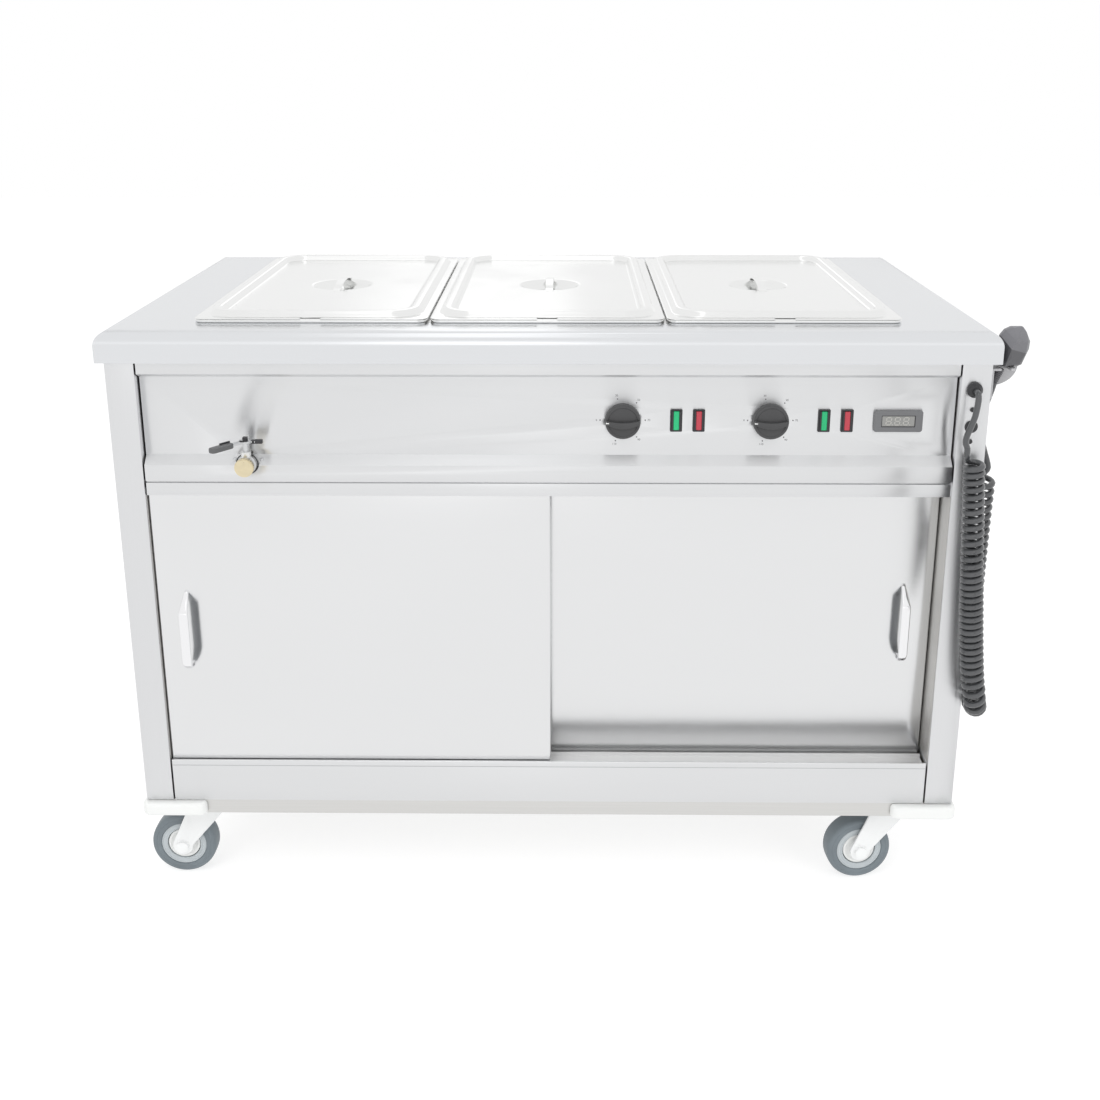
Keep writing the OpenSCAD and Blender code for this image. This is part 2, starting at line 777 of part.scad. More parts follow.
module fork(braked) {
    leg_out = leg_in + leg_t;
    difference() {
        union() {
            translate([0, 0, crown_z]) cylinder(d = crown_d, h = 7);
            for (s = [-1, 1]) translate([0, s * (leg_in + leg_t / 2) + leg_t / 2, 0]) rotate([90, 0, 0])
                linear_extrude(leg_t) leg_outline();
        }
        translate([0, 0, crown_z - eps]) cylinder(d = king_d + 2 * run_fit, h = 10);
    }
    pin_y(-trail, wheel_r, axle_d, -leg_out - 1, leg_out + 1);
    pin_y(-trail, wheel_r, axle_d + 8, leg_out, leg_out + 5);
    pin_y(-trail, wheel_r, axle_d + 8, -leg_out - 5, -leg_out);
    if (braked) pin_y(brake_pin[0], brake_pin[1], brake_pin_d, -leg_out, leg_out);
}

module fork_fl() { color("white") at_castor(0) fork(false); }
module fork_fr() { color("white") at_castor(1) fork(false); }
module fork_rl() { color("white") at_castor(2) fork(true); }
module fork_rr() { color("white") at_castor(3) fork(true); }

// Wheel: a spoked hub with a flanged rim, and a tyre with a rounded crown
rim_r = wheel_r * 0.7;
crown_r = 6;
tyre_fit = 0.1;

module wheel() {
    tyre_in = rim_r + tyre_fit;
    translate([-trail, 0, wheel_r]) rotate([90, 0, 0]) {
        difference() {
            rotate_extrude() polygon([[0, -wheel_w / 2 - 1], [axle_d, -wheel_w / 2 - 1],
                [axle_d + 2, -wheel_w / 2 + 3], [25, -wheel_w / 2 + 4],
                [26, -wheel_w / 2 + 1], [rim_r, -wheel_w / 2 + 1],
                [rim_r, wheel_w / 2 - 1], [26, wheel_w / 2 - 1], [25, wheel_w / 2 - 4],
                [axle_d + 2, wheel_w / 2 - 3], [axle_d, wheel_w / 2 + 1], [0, wheel_w / 2 + 1]]);
            cylinder(r = axle_d / 2 + run_fit, h = 2 * wheel_w, center = true);
        }
        rotate_extrude($fn = 72) {
            translate([tyre_in, -wheel_w / 2]) square([wheel_r - crown_r - tyre_in, wheel_w]);
            translate([tyre_in, -wheel_w / 2 + crown_r]) square([wheel_r - tyre_in, wheel_w - 2 * crown_r]);
            for (s = [-1, 1]) translate([wheel_r - crown_r, s * (wheel_w / 2 - crown_r)]) circle(crown_r);
        }
    }
}

module wheel_fl() { color("slategray") at_castor(0) wheel(); }
module wheel_fr() { color("slategray") at_castor(1) wheel(); }
module wheel_rl() { color("slategray") at_castor(2) wheel(); }
module wheel_rr() { color("slategray") at_castor(3) wheel(); }

// Brake pedal: a hub on the fork's pin, an arm over the tyre and a wide tread
module brake_pedal() {
    x = brake_pin[0];
    z = brake_pin[1];
    hub_r = 6;
    tread_x = -trail - wheel_r - 14;
    difference() {
        union() {
            pin_y(x, z, 2 * hub_r, -leg_in + seat, leg_in - seat);
            translate([0, 12, 0]) rotate([90, 0, 0]) linear_extrude(24) polygon([[x, z + 5], [x - 30, z + 2],
                [tread_x + 30, z + 4], [tread_x + 30, z + 1], [x - 36, z - 2], [x - 20, z - 4], [x, z - 5]]);
            translate([tread_x + 16, 0, z + 1]) linear_extrude(3.5) round_rect(32, 40, 8);
        }
        pin_y(x, z, brake_pin_d + 2 * run_fit, -leg_in, leg_in);
    }
}

module brake_pedal_rl() { color("dimgray") at_castor(2) brake_pedal(); }
module brake_pedal_rr() { color("dimgray") at_castor(3) brake_pedal(); }

// Doors: hollow panels on two glides, with a chrome bow each
left_handle_c = [-512, 449];
right_handle_c = [510, 444];
glide_h = 3.7;

module door(x0, y) {
    translate([x0, y, 0]) {
        difference() {
            translate([door_w / 2, door_t / 2, door_z]) linear_extrude(door_top - door_z)
                round_rect(door_w, door_t, 2.5);
            block([3, sheet, door_z + sheet], [door_w - 3, door_t - sheet, door_top - sheet]);
        }
        for (x = [40, door_w - 100])
            block([x, door_t / 2 - 5, door_z - glide_h], [x + 60, door_t / 2 + 5, door_z]);
    }
}

module left_door() { color("gainsboro") door(-panel_x, front_door_y); }
module right_door() { color("gainsboro") door(panel_x - door_w, rear_door_y); }

// A bow: a folded strip seen from the side, cut to a tapered outline seen from the front
bow_t = 3;
bow_slope = 26;
foot_w = 6;

module bow() {
    h = handle_l / 2;
    intersection() {
        along_x(handle_w) polygon(fold([[eps, -h - 2], [-4, -h + 2], [-handle_proud + 3, -h + bow_slope - 7],
            [-handle_proud, -h + bow_slope + 4], [-handle_proud, h - bow_slope - 4],
            [-handle_proud + 3, h - bow_slope + 7], [-4, h - 2], [eps, h + 2]], -bow_t));
        along_y(-handle_proud - eps, 0) polygon([[-foot_w / 2, -h], [foot_w / 2, -h],
            [handle_w / 2, -h + bow_slope], [handle_w / 2, h - bow_slope], [foot_w / 2, h], [-foot_w / 2, h],
            [-handle_w / 2, h - bow_slope], [-handle_w / 2, -h + bow_slope]]);
    }
}

module left_handle() {
    color("white") translate([left_handle_c[0], front_door_y, left_handle_c[1]]) bow();
}

module right_handle() {
    color("white") translate([right_handle_c[0], rear_door_y, right_handle_c[1]]) bow();
}

// Knobs: a ribbed skirt with a grip bar between two scoops, on a spindle
grip_w = 11;
rib_count = 32;
spindle_l = 14;

module knob(x) {
    r = knob_d / 2;
    scoop_r = knob_h - 5;
    translate([x, face_y, control_z]) rotate([90, 0, 0]) {
        difference() {
            translate([0, 0, 1]) rotate_extrude($fn = 96) polygon([[0, 0], [r, 0], [r, 6],
                [r - 1.5, knob_h - 3], [r - 3.5, knob_h - 1], [0, knob_h - 1]]);
            for (s = [-1, 1]) intersection() {
                translate([-r, s * (grip_w / 2 + scoop_r), knob_h + 1.5]) rotate([0, 90, 0])
                    cylinder(r = scoop_r, h = knob_d);
                cylinder(r = r - 5, h = knob_h + eps);
            }
            for (k = [0:rib_count - 1]) rotate([0, 0, (k + 0.5) * 360 / rib_count])
                translate([r + 0.5, 0, 0]) cylinder(r = 1, h = knob_h, $fn = 13);
            translate([-r + 0.5, -0.9, knob_h - 2.6]) cube([6.5, 1.8, 3]);
        }
        translate([0, 0, -spindle_l - sheet]) cylinder(d = spindle_d, h = spindle_l + sheet + 4);
    }
}

module well_knob() { color([0.25, 0.25, 0.25]) knob(knob_xs[0]); }
module cupboard_knob() { color([0.25, 0.25, 0.25]) knob(knob_xs[1]); }

// Pans and lids: lofts through rings of round rectangles. A ring is
// [width, length, corner radius, height].
arc_steps = 5;

function ring_points(q) = [for (c = [0:3], k = [0:arc_steps])
    let (sx = c == 0 || c == 3 ? 1 : -1, sy = c < 2 ? 1 : -1, a = 90 * c + 90 * k / arc_steps)
    [sx * (q[0] / 2 - q[2]) + q[2] * cos(a), sy * (q[1] / 2 - q[2]) + q[2] * sin(a), q[3]]];

// The rings run from the middle of the top, over the edge, to the middle below
module loft(rings) {
    skin([for (i = [len(rings) - 1:-1:0]) ring_points(rings[i])]);
}

flange_w = 10;
pan_r = 54;
flange_r = 14;

function grown(q, by, dz) = [q[0] + 2 * by, q[1] + 2 * by, q[2] + by, q[3] + dz];

module pan() {
    w = pan_w - 2 * flange_w;
    l = pan_l - 2 * flange_w;
    t = pan_sheet;
    inside = [[w - 44, l - 44, pan_r - 16, -pan_h], [w - 28, l - 28, pan_r - 9, -pan_h + 4],
        [w - 22, l - 22, pan_r - 6, -pan_h + 14], [w - 3, l - 3, pan_r, -5], [w, l, pan_r + 1, 0]];
    rim = [[pan_w - 2, pan_l - 2, flange_r - 1, 0], [pan_w, pan_l, flange_r, -1],
        [pan_w, pan_l, flange_r, -pan_edge],
        [pan_w - 2 * t, pan_l - 2 * t, flange_r - t, -pan_edge],
        [pan_w - 2 * t - 1, pan_l - 2 * t - 1, flange_r - t, -t - 0.5],
        [w + 2 * t + 2, l + 2 * t + 2, pan_r + 2, -t - 0.5]];
    outside = [for (i = [3:-1:1]) grown(inside[i], t, 0)];
    loft(concat(inside, rim, outside, [grown(inside[0], t, -t)]));
}

module lid() {
    t = pan_sheet;
    w = pan_w;
    l = pan_l;
    dish = [for (q = [[60, 1], [28, 1], [10, 0.5], [4, 0.1], [0, 0]])
        let (d = dish_d - q[0]) [d, d, d / 2, -dish_h * q[1]]];
    top = concat(dish, [[w - 66, l - 66, 26, 0], [w - 60, l - 60, 29, lid_rise * 0.4],
        [w - 52, l - 52, 33, lid_rise], [w - 34, l - 34, 40, lid_rise], [w - 26, l - 26, 42, lid_rise * 0.4],
        [w - 22, l - 22, 43, 0], [w - 2, l - 2, flange_r - 1, 0], [w, l, flange_r, -t * 0.4]]);
    under = [for (i = [10:-1:1]) grown(top[i], i > 7 ? -t : i > 4 ? t : 0, -t)];
    loft(concat(top, [[w, l, flange_r, -t]], under, [grown(top[0], 0, -t)]));
}

notch_w = 28;
notch_l = 12;

// The strap bows over the dish between two flat feet, spot-welded on the panel
strap_half = dish_d / 2 + 4;
strap_foot = 9;
strap_rise = 5;
strap_t = 1.5;

module strap() {
    n = 8;
    sunk = pan_sheet / 2;
    bow = [for (i = [0:n]) let (s = i / n * 2 - 1) [s * strap_half, strap_rise * (1 - s * s) - sunk]];
    along_x(strap_w / 2) polygon(fold(concat([[-strap_half - strap_foot, -sunk]], bow,
        [[strap_half + strap_foot, -sunk]]), strap_t));
}

module lid_at(i) {
    translate([i * pan_pitch, mid_y, worktop_z + pan_edge + pan_sheet]) {
        difference() {
            lid();
            block([-notch_w / 2, -pan_l / 2 - eps, -5], [notch_w / 2, -pan_l / 2 + notch_l, lid_rise + eps]);
        }
        strap();
    }
}

module pan_at(i) {
    translate([i * pan_pitch, mid_y, worktop_z + pan_edge]) pan();
}

module pan_1() { color("silver") pan_at(-1); }
module pan_2() { color("silver") pan_at(0); }
module pan_3() { color("silver") pan_at(1); }
module lid_1() { color("whitesmoke") lid_at(-1); }
module lid_2() { color("whitesmoke") lid_at(0); }
module lid_3() { color("whitesmoke") lid_at(1); }

// Right post: cable gland, two rail studs and a blanking plug
gland_d = 21;
gland_h = 8.5;

module cord_gland() {
    color("black") difference() {
        union() {
            pin_y(gland_x, gland_z, gland_hole - 2 * seat, front - eps, front + 14);
            translate([gland_x, front, gland_z]) rotate([90, 0, 0])
                rotate_extrude() polygon([[0, 0], [gland_d / 2, 0], [gland_d / 2, 3],
                    [wire_d / 2 + 2, gland_h], [0, gland_h]]);
            translate([gland_x, front + sheet + 5, gland_z]) rotate([90, 0, 0])
                cylinder(d = 24, h = 5, $fn = 6);
        }
        pin_y(gland_x, gland_z, 4, front + 4, front + 16);
    }
}

module post_fittings() {
    color("dimgray") {
        for (z = stud_zs) {
            translate([gland_x, front, z]) rotate([90, 0, 0]) rotate_extrude()
                polygon([[0, 0], [3.5, 0], [3.2, 1.2], [2, 2.2], [0, 2.4]]);
            pin_y(gland_x, z, stud_hole - 2 * seat, front, front + 6);
        }
        translate([gland_x, front, round_plug_z]) rotate([90, 0, 0]) rotate_extrude()
            polygon([[0, 0], [9, 0], [8.4, 1.6], [6, 2.6], [0, 3]]);
        pin_y(gland_x, round_plug_z, round_plug_hole - 2 * seat, front, front + 6);
    }
}

// Plug park: a notched shelf on the right side, with a quarter-round web under it
park_x = half_w + 33;
park_z = 829;
park_y0 = front + 2;
park_y1 = front + 30;
relief_x = 619;
relief_y = front + 13.5;

module plug_park() {
    t = 3;
    r = 27;
    color("lightgray") {
        difference() {
            union() {
                block([half_w, park_y0, park_z - t], [park_x - 8, park_y1, park_z]);
                block([half_w, park_y0 + 8, park_z - t], [park_x, park_y1 - 8, park_z]);
                for (y = [park_y0 + 8, park_y1 - 8])
                    translate([park_x - 8, y, park_z - t]) cylinder(r = 8, h = t);
            }
            translate([relief_x, relief_y, park_z - 2 * t]) cylinder(d = 13, h = 3 * t);
            block([relief_x - 6.5, park_y0 - eps, park_z - 2 * t], [relief_x + 6.5, relief_y, park_z + t]);
        }
        block([half_w, park_y0, park_z - 42], [half_w + t, park_y1, park_z]);
        translate([0, park_y1 - t, 0]) intersection() {
            block([half_w, 0, park_z - r - t], [park_x, t, park_z - t]);
            pin_y(half_w, park_z - t, 2 * r, 0, t);
        }
        translate([half_w + t, (park_y0 + park_y1) / 2, park_z - 34]) rotate([0, 90, 0])
            cylinder(d = 8, h = 3, $fn = 6);
    }
}

// Mains cord. The lead leaves the gland and bends down to the curls; the
// tail rises from the curls to the plug. The route's points are the cord's own
// middle, with the depth taken from the middle of the body.
wire_d = 8.4;
tube_sides = 10;
lead_route = [[578, -325.5, 800], [578, -334.5, 799.5], [577.5, -343.5, 797], [577, -350.5, 792],
    [576.5, -354.5, 784], [576, -356, 775], [575, -355.5, 765], [573, -353, 755], [570.5, -348.5, 746],
    [568.5, -344, 738], [568, -341, 731], [568, -339.5, 724]];
tail_route = [[618, -284.5, 644], [618, -285, 664], [618, -285.5, 684], [618, -286.5, 704],
    [618, -289, 722], [618, -291.5, 740], [618, -294.5, 758], [618.5, -297.5, 776], [619, -300.5, 792],
    [619, -303, 808], [619, -303.5, 816], [619, -303.5, 824]];
function placed(route) = [for (p = route) p + [0, mid_y, 0]];
lead_points = placed(lead_route);
tail_points = placed(tail_route);

function at_frame(n0, d) = unit(n0 - (n0 * d) * d);
function tangent(p, i) = i == 0 ? unit(p[1] - p[0])
    : i == len(p) - 1 ? unit(p[i] - p[i - 1])
    : unit(unit(p[i + 1] - p[i]) + unit(p[i] - p[i - 1]));
// Side vectors carried along the points without twist
function carried(p, n0) = [for (i = 0, n = at_frame(n0, tangent(p, 0)); i < len(p);
    i = i + 1, n = i < len(p) ? at_frame(n, tangent(p, i)) : n) n];

module tube(p, normals, r, sides, d0, d1) {
    count = len(p);
    ways = [for (i = [0:count - 1]) i == 0 ? d0 : i == count - 1 ? d1 : tangent(p, i)];
    skin([for (i = [0:count - 1]) let (n = at_frame(normals[i], ways[i]), b = cross(ways[i], n))
        [for (k = [0:sides - 1]) p[i] + r * (cos(k * 360 / sides) * n + sin(k * 360 / sides) * b)]]);
}

module cord_lead() {
    color("dimgray") tube(lead_points, carried(lead_points, [1, 0, 0]), wire_d / 2, tube_sides,
        [0, -1, 0], [0, 0, -1]);
}

module cord_tail() {
    color("dimgray") tube(tail_points, carried(tail_points, [1, 0, 0]), wire_d / 2, tube_sides,
        [0, 0, 1], [0, 0, 1]);
}

// Curls: the axis hangs down the post, turns round its corner and climbs the
// side panel. A station is [curls so far, x, y, z, radius of the curls].
curl_steps = 8;
curl_sides = 6;
stations = [[0, 579, -339.5, 704.5, 11], [2, 580, -339.5, 686, 11], [6, 583, -339.5, 644, 11.2],
    [10, 586, -339.5, 599, 11.6], [14, 589, -339.5, 554, 12], [19, 593, -339.5, 504, 12.4],
    [24, 597, -339.5, 455, 12.6], [29, 602, -339.5, 405, 12.6], [31.6, 606, -339, 376, 12.4],
    [32.8, 609, -338.5, 361, 12.2], [34.2, 613, -334, 341.5, 12], [35.6, 619, -321, 328, 12],
    [36.95, 622, -302.5, 323, 12], [38.3, 622, -284, 328, 12], [39.65, 620.5, -270.5, 341.5, 12],
    [40.95, 619, -266, 360, 12.2], [43.4, 618.5, -265.5, 389, 12.4], [47.6, 618.5, -265.5, 431, 12.6],
    [52.6, 618, -265.5, 480, 12.4], [57.6, 618, -266.5, 529, 12.2], [62.6, 618, -268.5, 578, 12],
    [68, 618, -272.5, 631, 11.8]];
knots = len(stations) - 1;
curls = stations[knots][0];

function spot(k) = let (s = stations[max(0, min(knots, k))]) [s[1], mid_y + s[2], s[3], s[4]];
function slope_at(k) = k <= 0 ? (spot(1) - spot(0)) / (stations[1][0] - stations[0][0])
    : k >= knots ? (spot(knots) - spot(knots - 1)) / (stations[knots][0] - stations[knots - 1][0])
    : (spot(k + 1) - spot(k - 1)) / (stations[k + 1][0] - stations[k - 1][0]);
function segment(t, k = 0) = k >= knots - 1 || t < stations[k + 1][0] ? k : segment(t, k + 1);
// Axis point and curl radius after t curls, on a smooth curve through the stations
function axis_at(t) = let (k = segment(t), t0 = stations[k][0], h = stations[k + 1][0] - t0, u = (t - t0) / h,
    u2 = u * u, u3 = u2 * u)
    (2 * u3 - 3 * u2 + 1) * spot(k) + (u3 - 2 * u2 + u) * h * slope_at(k)
    + (3 * u2 - 2 * u3) * spot(k + 1) + (u3 - u2) * h * slope_at(k + 1);
function xyz(v) = [v[0], v[1], v[2]];

curl_axis = [for (i = [0:curls * curl_steps]) axis_at(i / curl_steps)];
axis_points = [for (v = curl_axis) xyz(v)];
axis_normals = carried(axis_points, [-1, 0, 0]);
curl_points = [for (i = [0:curls * curl_steps]) let (d = tangent(axis_points, i), n = axis_normals[i],
    b = cross(d, n), a = i * 360 / curl_steps)
    axis_points[i] + curl_axis[i][3] * (cos(a) * n + sin(a) * b)];
// The first and last curl open out to a straight end, one wire long
lead_end = lead_points[len(lead_points) - 1];
tail_start = tail_points[0];
first_curl = 1;
last_curl = len(curl_points) - 8;
open_out = [0, 0, wire_d / 4];
curl_path = concat([lead_end, lead_end - [0, 0, wire_d], curl_points[first_curl] + open_out],
    [for (i = [first_curl + 1:last_curl - 1]) curl_points[i]],
    [curl_points[last_curl] + open_out, tail_start - [0, 0, wire_d], tail_start]);
curl_normals = carried(curl_path, [-1, 0, 0]);

// Least gap of the cord to itself, from each point to the runs at least half a curl on
function to_run(q, a, b) = let (v = b - a, s = max(0, min(1, ((q - a) * v) / (v * v)))) norm(q - a - s * v);
gap_reach = 14;
least_gap = min([for (i = [0:len(curl_path) - curl_steps], j = [i + 4:min(i + gap_reach, len(curl_path) - 2)])
    to_run(curl_path[i], curl_path[j], curl_path[j + 1])]) - wire_d;

module curly_cord() {
    echo("least gap of the curly cord to itself", least_gap);
    echo("length of its wire", norm_sum(curl_path));
    color("dimgray") tube(curl_path, curl_normals, wire_d / 2, curl_sides, [0, 0, -1], [0, 0, 1]);
}

function norm_sum(p, i = 0, s = 0) = i >= len(p) - 1 ? s : norm_sum(p, i + 1, s + norm(p[i + 1] - p[i]));

// Plug: a moulded body with a faceted back, three pins and a strain relief.
// Its outline is [across, height] about the foot of its middle.
plug_x = 631;
plug_z = park_z + seat;
plug_h = 55;
plug_base = 9;
plug_depth = 33;
plug_rim = [[-20, 6], [-14, 0], [12, 0], [19, 12], [21, 32], [13, plug_h], [-10, plug_h], [-20, 42]];
plug_back = [[-10, 12], [-6, 8], [6, 8], [10, 16], [12, 30], [7, 44], [-4, 44], [-10, 34]];
face_back = relief_y + plug_base;

function plug_ring(q, y) = [for (v = q) [plug_x + v[0], y, plug_z + v[1]]];

module plug() {
    color([0.3, 0.3, 0.32]) {
        skin([plug_ring(plug_rim, face_back), plug_ring(plug_rim, face_back - plug_base),
            plug_ring(plug_back, face_back - plug_depth)]);
        translate([plug_x, face_back, plug_z]) {
            block([-4, -eps, 38], [0, 22, 46]);
            for (s = [-1, 1]) block([s * 11 - 5.2, -eps, 17], [s * 11 + 1.2, 17, 21]);
        }
        translate([relief_x, relief_y, plug_z - 5.3]) cylinder(d1 = wire_d + 1, d2 = 11.5, h = 7.5);
    }
}

worktop();
well_tank();
cross_bars();
well_element();
left_side_panel();
right_side_panel();
back_panel();
base_panel();
cupboard_liners();
cupboard_floor();
cupboard_ceiling();
mid_shelf();
insulation_slabs();
control_fascia();
door_header();
bottom_track();
plinth_rail();
cupboard_element();
thermostats();
terminal_block();
lamp_bezels();
lamp_lenses();
display_bezel();
display_window();
drain_valve();
chassis_frame();
corner_bumpers();
caster_plates();
caster_bolts();
cord_gland();
post_fittings();
plug_park();
cord_lead();
curly_cord();
cord_tail();
plug();
left_door();
left_handle();
right_door();
right_handle();
well_knob();
cupboard_knob();
drain_lever();
drain_cap();
pan_1();
pan_2();
pan_3();
lid_1();
lid_2();
lid_3();
fork_fl();
fork_fr();
fork_rl();
fork_rr();
wheel_fl();
wheel_fr();
wheel_rl();
wheel_rr();
brake_pedal_rl();
brake_pedal_rr();
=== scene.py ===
"""The looks of the mobile serving counter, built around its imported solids.

Lengths are millimetres, and at_body turns them into metres. +X is to the right, +Y to the back and +Z up.
Depths are taken from the middle of the body, which lies at MID_Y. The stage is in metres.
"""
import math

import bmesh
import bpy
from mathutils import Matrix, Vector


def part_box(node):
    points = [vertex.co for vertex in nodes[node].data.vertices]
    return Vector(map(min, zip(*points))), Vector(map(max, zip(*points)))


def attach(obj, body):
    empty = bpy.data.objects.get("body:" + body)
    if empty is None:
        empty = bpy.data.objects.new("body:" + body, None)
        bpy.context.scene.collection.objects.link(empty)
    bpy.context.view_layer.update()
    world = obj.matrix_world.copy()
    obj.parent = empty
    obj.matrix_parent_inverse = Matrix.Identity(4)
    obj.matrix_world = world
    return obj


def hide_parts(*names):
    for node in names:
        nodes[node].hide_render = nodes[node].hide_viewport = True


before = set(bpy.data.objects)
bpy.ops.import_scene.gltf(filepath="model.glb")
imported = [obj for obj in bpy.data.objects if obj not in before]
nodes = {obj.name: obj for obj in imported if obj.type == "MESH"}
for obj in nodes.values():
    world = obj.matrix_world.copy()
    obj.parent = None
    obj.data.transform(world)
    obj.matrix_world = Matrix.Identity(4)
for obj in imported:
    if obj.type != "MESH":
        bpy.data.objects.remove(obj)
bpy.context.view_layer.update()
scene = bpy.context.scene
MM = 0.001
FRONT, FACE = -317.0, -305.0                # the posts' front, and the fascia's sunk face
FRONT_DOOR, REAR_DOOR = -313.0, -275.0      # the faces of the two doors
CONTROL_Z = 753.0                           # the middle of the knobs, the lamps and the display
RAIL_END = 557.0                            # where the rails between the posts end
ALIKE = 2e-6                                # points nearer than this, in metres, are merged
MID_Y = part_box("left_side_panel")[0][1] / MM - FRONT


def at_body(point):
    """A point in millimetres from the middle of the body, as metres in the shared frame."""
    return Vector((point[0], point[1] + MID_Y, point[2])) * MM


def placed(name, data):
    """A new object of the scene."""
    obj = bpy.data.objects.new(name, data)
    scene.collection.objects.link(obj)
    return obj


# Camera

# Fitted to edges in the photo. The turns are degrees about the fixed axes, one after the other. The focal
# length and the centre are parts of the picture's width.
PICTURE = 1100
CAMERA_AT = (27.7, -1963.1, 1244.5)
CAMERA_TURN = {"X": -15.60, "Y": 0.07, "Z": 0.64}
FOCAL = 1257.7 / PICTURE
CENTRE = (553.2 / PICTURE, 400.0 / PICTURE)
SENSOR = 36.0

turn = Matrix.Identity(3)
for axis, degrees in CAMERA_TURN.items():
    turn = Matrix.Rotation(math.radians(degrees), 3, axis) @ turn
camera = placed("camera", bpy.data.cameras.new("camera"))
pose = Matrix((turn.col[0], turn.col[2], -turn.col[1])).transposed().to_4x4()
camera.matrix_world = Matrix.Translation(at_body(CAMERA_AT)) @ pose
camera.data.sensor_width = SENSOR
camera.data.lens = FOCAL * SENSOR
camera.data.shift_x = 0.5 - CENTRE[0]
camera.data.shift_y = CENTRE[1] - 0.5
camera.data.clip_start = 0.05
camera.data.clip_end = 60
scene.camera = camera
scene.view_settings.view_transform = "Standard"


# Materials

def add_node(tree, kind, inputs=None, **settings):
    """A new shader node. Each input is a value, or an output that is linked to it."""
    node = tree.nodes.new(kind)
    for key, value in settings.items():
        setattr(node, key, value)
    for key, value in (inputs or {}).items():
        if isinstance(value, bpy.types.NodeSocket):
            tree.links.new(value, node.inputs[key])
        else:
            node.inputs[key].default_value = value
    return node


class Look:
    """A material, built up round its Principled shader."""

    def __init__(self, name):
        self.material = bpy.data.materials.new(name)
        self.material.use_nodes = True
        self.tree = self.material.node_tree
        self.shader = self.tree.nodes["Principled BSDF"]

    def add(self, kind, inputs=None, **settings):
        return add_node(self.tree, kind, inputs, **settings)

    def noise(self, scale, detail=3.0, roughness=0.5):
        """Noise in object space, drawn out along the axes with a small scale."""
        place = self.add("ShaderNodeTexCoord").outputs["Object"]
        mapped = self.add("ShaderNodeMapping", {"Vector": place, "Scale": scale}).outputs[0]
        inputs = {"Vector": mapped, "Scale": 1.0, "Detail": detail, "Roughness": roughness}
        return self.add("ShaderNodeTexNoise", inputs).outputs["Fac"]

    def span(self, noise, low, high):
        """The noise, which keeps mostly between 0.3 and 0.7, spread from low to high."""
        inputs = {"Value": noise, "From Min": 0.3, "From Max": 0.7, "To Min": low, "To Max": high}
        return self.add("ShaderNodeMapRange", inputs).outputs[0]

    def mix(self, factor, a, b):
        """A mix of two colours or outputs."""
        ends = {i: v if isinstance(v, bpy.types.NodeSocket) else (*v, 1) for i, v in ((6, a), (7, b))}
        return self.add("ShaderNodeMix", {0: factor, **ends}, data_type="RGBA").outputs[2]

    def shade(self, noise, color, low, high):
        """The colour, between low and high times as bright."""
        dark, light = (tuple(min(1.0, part * by) for part in color) for by in (low, high))
        return self.mix(self.span(noise, 0, 1), dark, light)

    def into(self, socket, value):
        if isinstance(value, bpy.types.NodeSocket):
            self.tree.links.new(value, self.shader.inputs[socket])
        else:
            self.shader.inputs[socket].default_value = value

    def bump(self, height, strength, depth):
        inputs = {"Height": height, "Strength": strength, "Distance": depth}
        self.into("Normal", self.add("ShaderNodeBump", inputs).outputs[0])


AXES = {"X": (1, 0, 0), "Y": (0, 1, 0), "Z": (0, 0, 1)}
ALONG_GRAIN, ACROSS_GRAIN = 6.0, 1100


def brushed(name, color, rough=0.19, along="X", grain=0.016, aniso=0.70, strength=0.03, metallic=1.0):
    """Steel sheet with a fine grain along one axis, which draws its reflections out across the grain."""
    look = Look(name)
    axis = AXES[along]
    streaks = look.noise([ALONG_GRAIN if part else ACROSS_GRAIN for part in axis], 2.0, 0.6)
    clouds = look.noise((2.3, 2.9, 3.7), 2.0)
    streaky = look.shade(streaks, color, 1 - grain, 1 + grain)
    look.into("Base Color", look.mix(0.5, streaky, look.shade(clouds, color, 0.988, 1.01)))
    look.into("Metallic", metallic)
    look.into("Roughness", look.span(streaks, rough * 0.9, rough * 1.12))
    look.into("Anisotropic", aniso)
    normal = look.add("ShaderNodeNewGeometry").outputs["True Normal"]
    over = look.add("ShaderNodeVectorMath", {0: axis, 1: normal}, operation="CROSS_PRODUCT").outputs[0]
    # The little that is added keeps the tangent off zero on faces across the grain
    tangent = look.add("ShaderNodeVectorMath", {0: over, 1: (0.002,) * 3}, operation="ADD").outputs[0]
    look.into("Tangent", tangent)
    look.bump(streaks, strength, 0.00002)
    return look.material


def coated(name, color, rough, vary=0.05, size=40, bump=0.03, depth=0.0002, **sockets):
    """Paint, plastic or rubber: a fine grain with slow changes of tone and gloss."""
    look = Look(name)
    slow = look.noise((size * 0.4,) * 3)
    look.into("Base Color", look.shade(slow, color, 1 - vary, 1 + vary))
    look.into("Roughness", look.span(slow, rough * 0.9, min(1, rough * 1.12)))
    for key, value in sockets.items():
        look.into(key.replace("_", " "), value)
    look.bump(look.noise((size * 12,) * 3), bump, depth)
    return look.material


def metal(name, color, rough, vary=0.04, size=25, bump=0.02):
    """Polished or plated metal, with slow changes of tone and gloss."""
    look = Look(name)
    slow = look.noise((size,) * 3, 4.0)
    look.into("Base Color", look.shade(slow, color, 1 - vary, 1 + vary * 0.5))
    look.into("Metallic", 1.0)
    look.into("Roughness", look.span(slow, rough * 0.8, rough * 1.25))
    look.bump(look.noise((size * 20,) * 3, 2.0), bump, 0.0001)
    return look.material


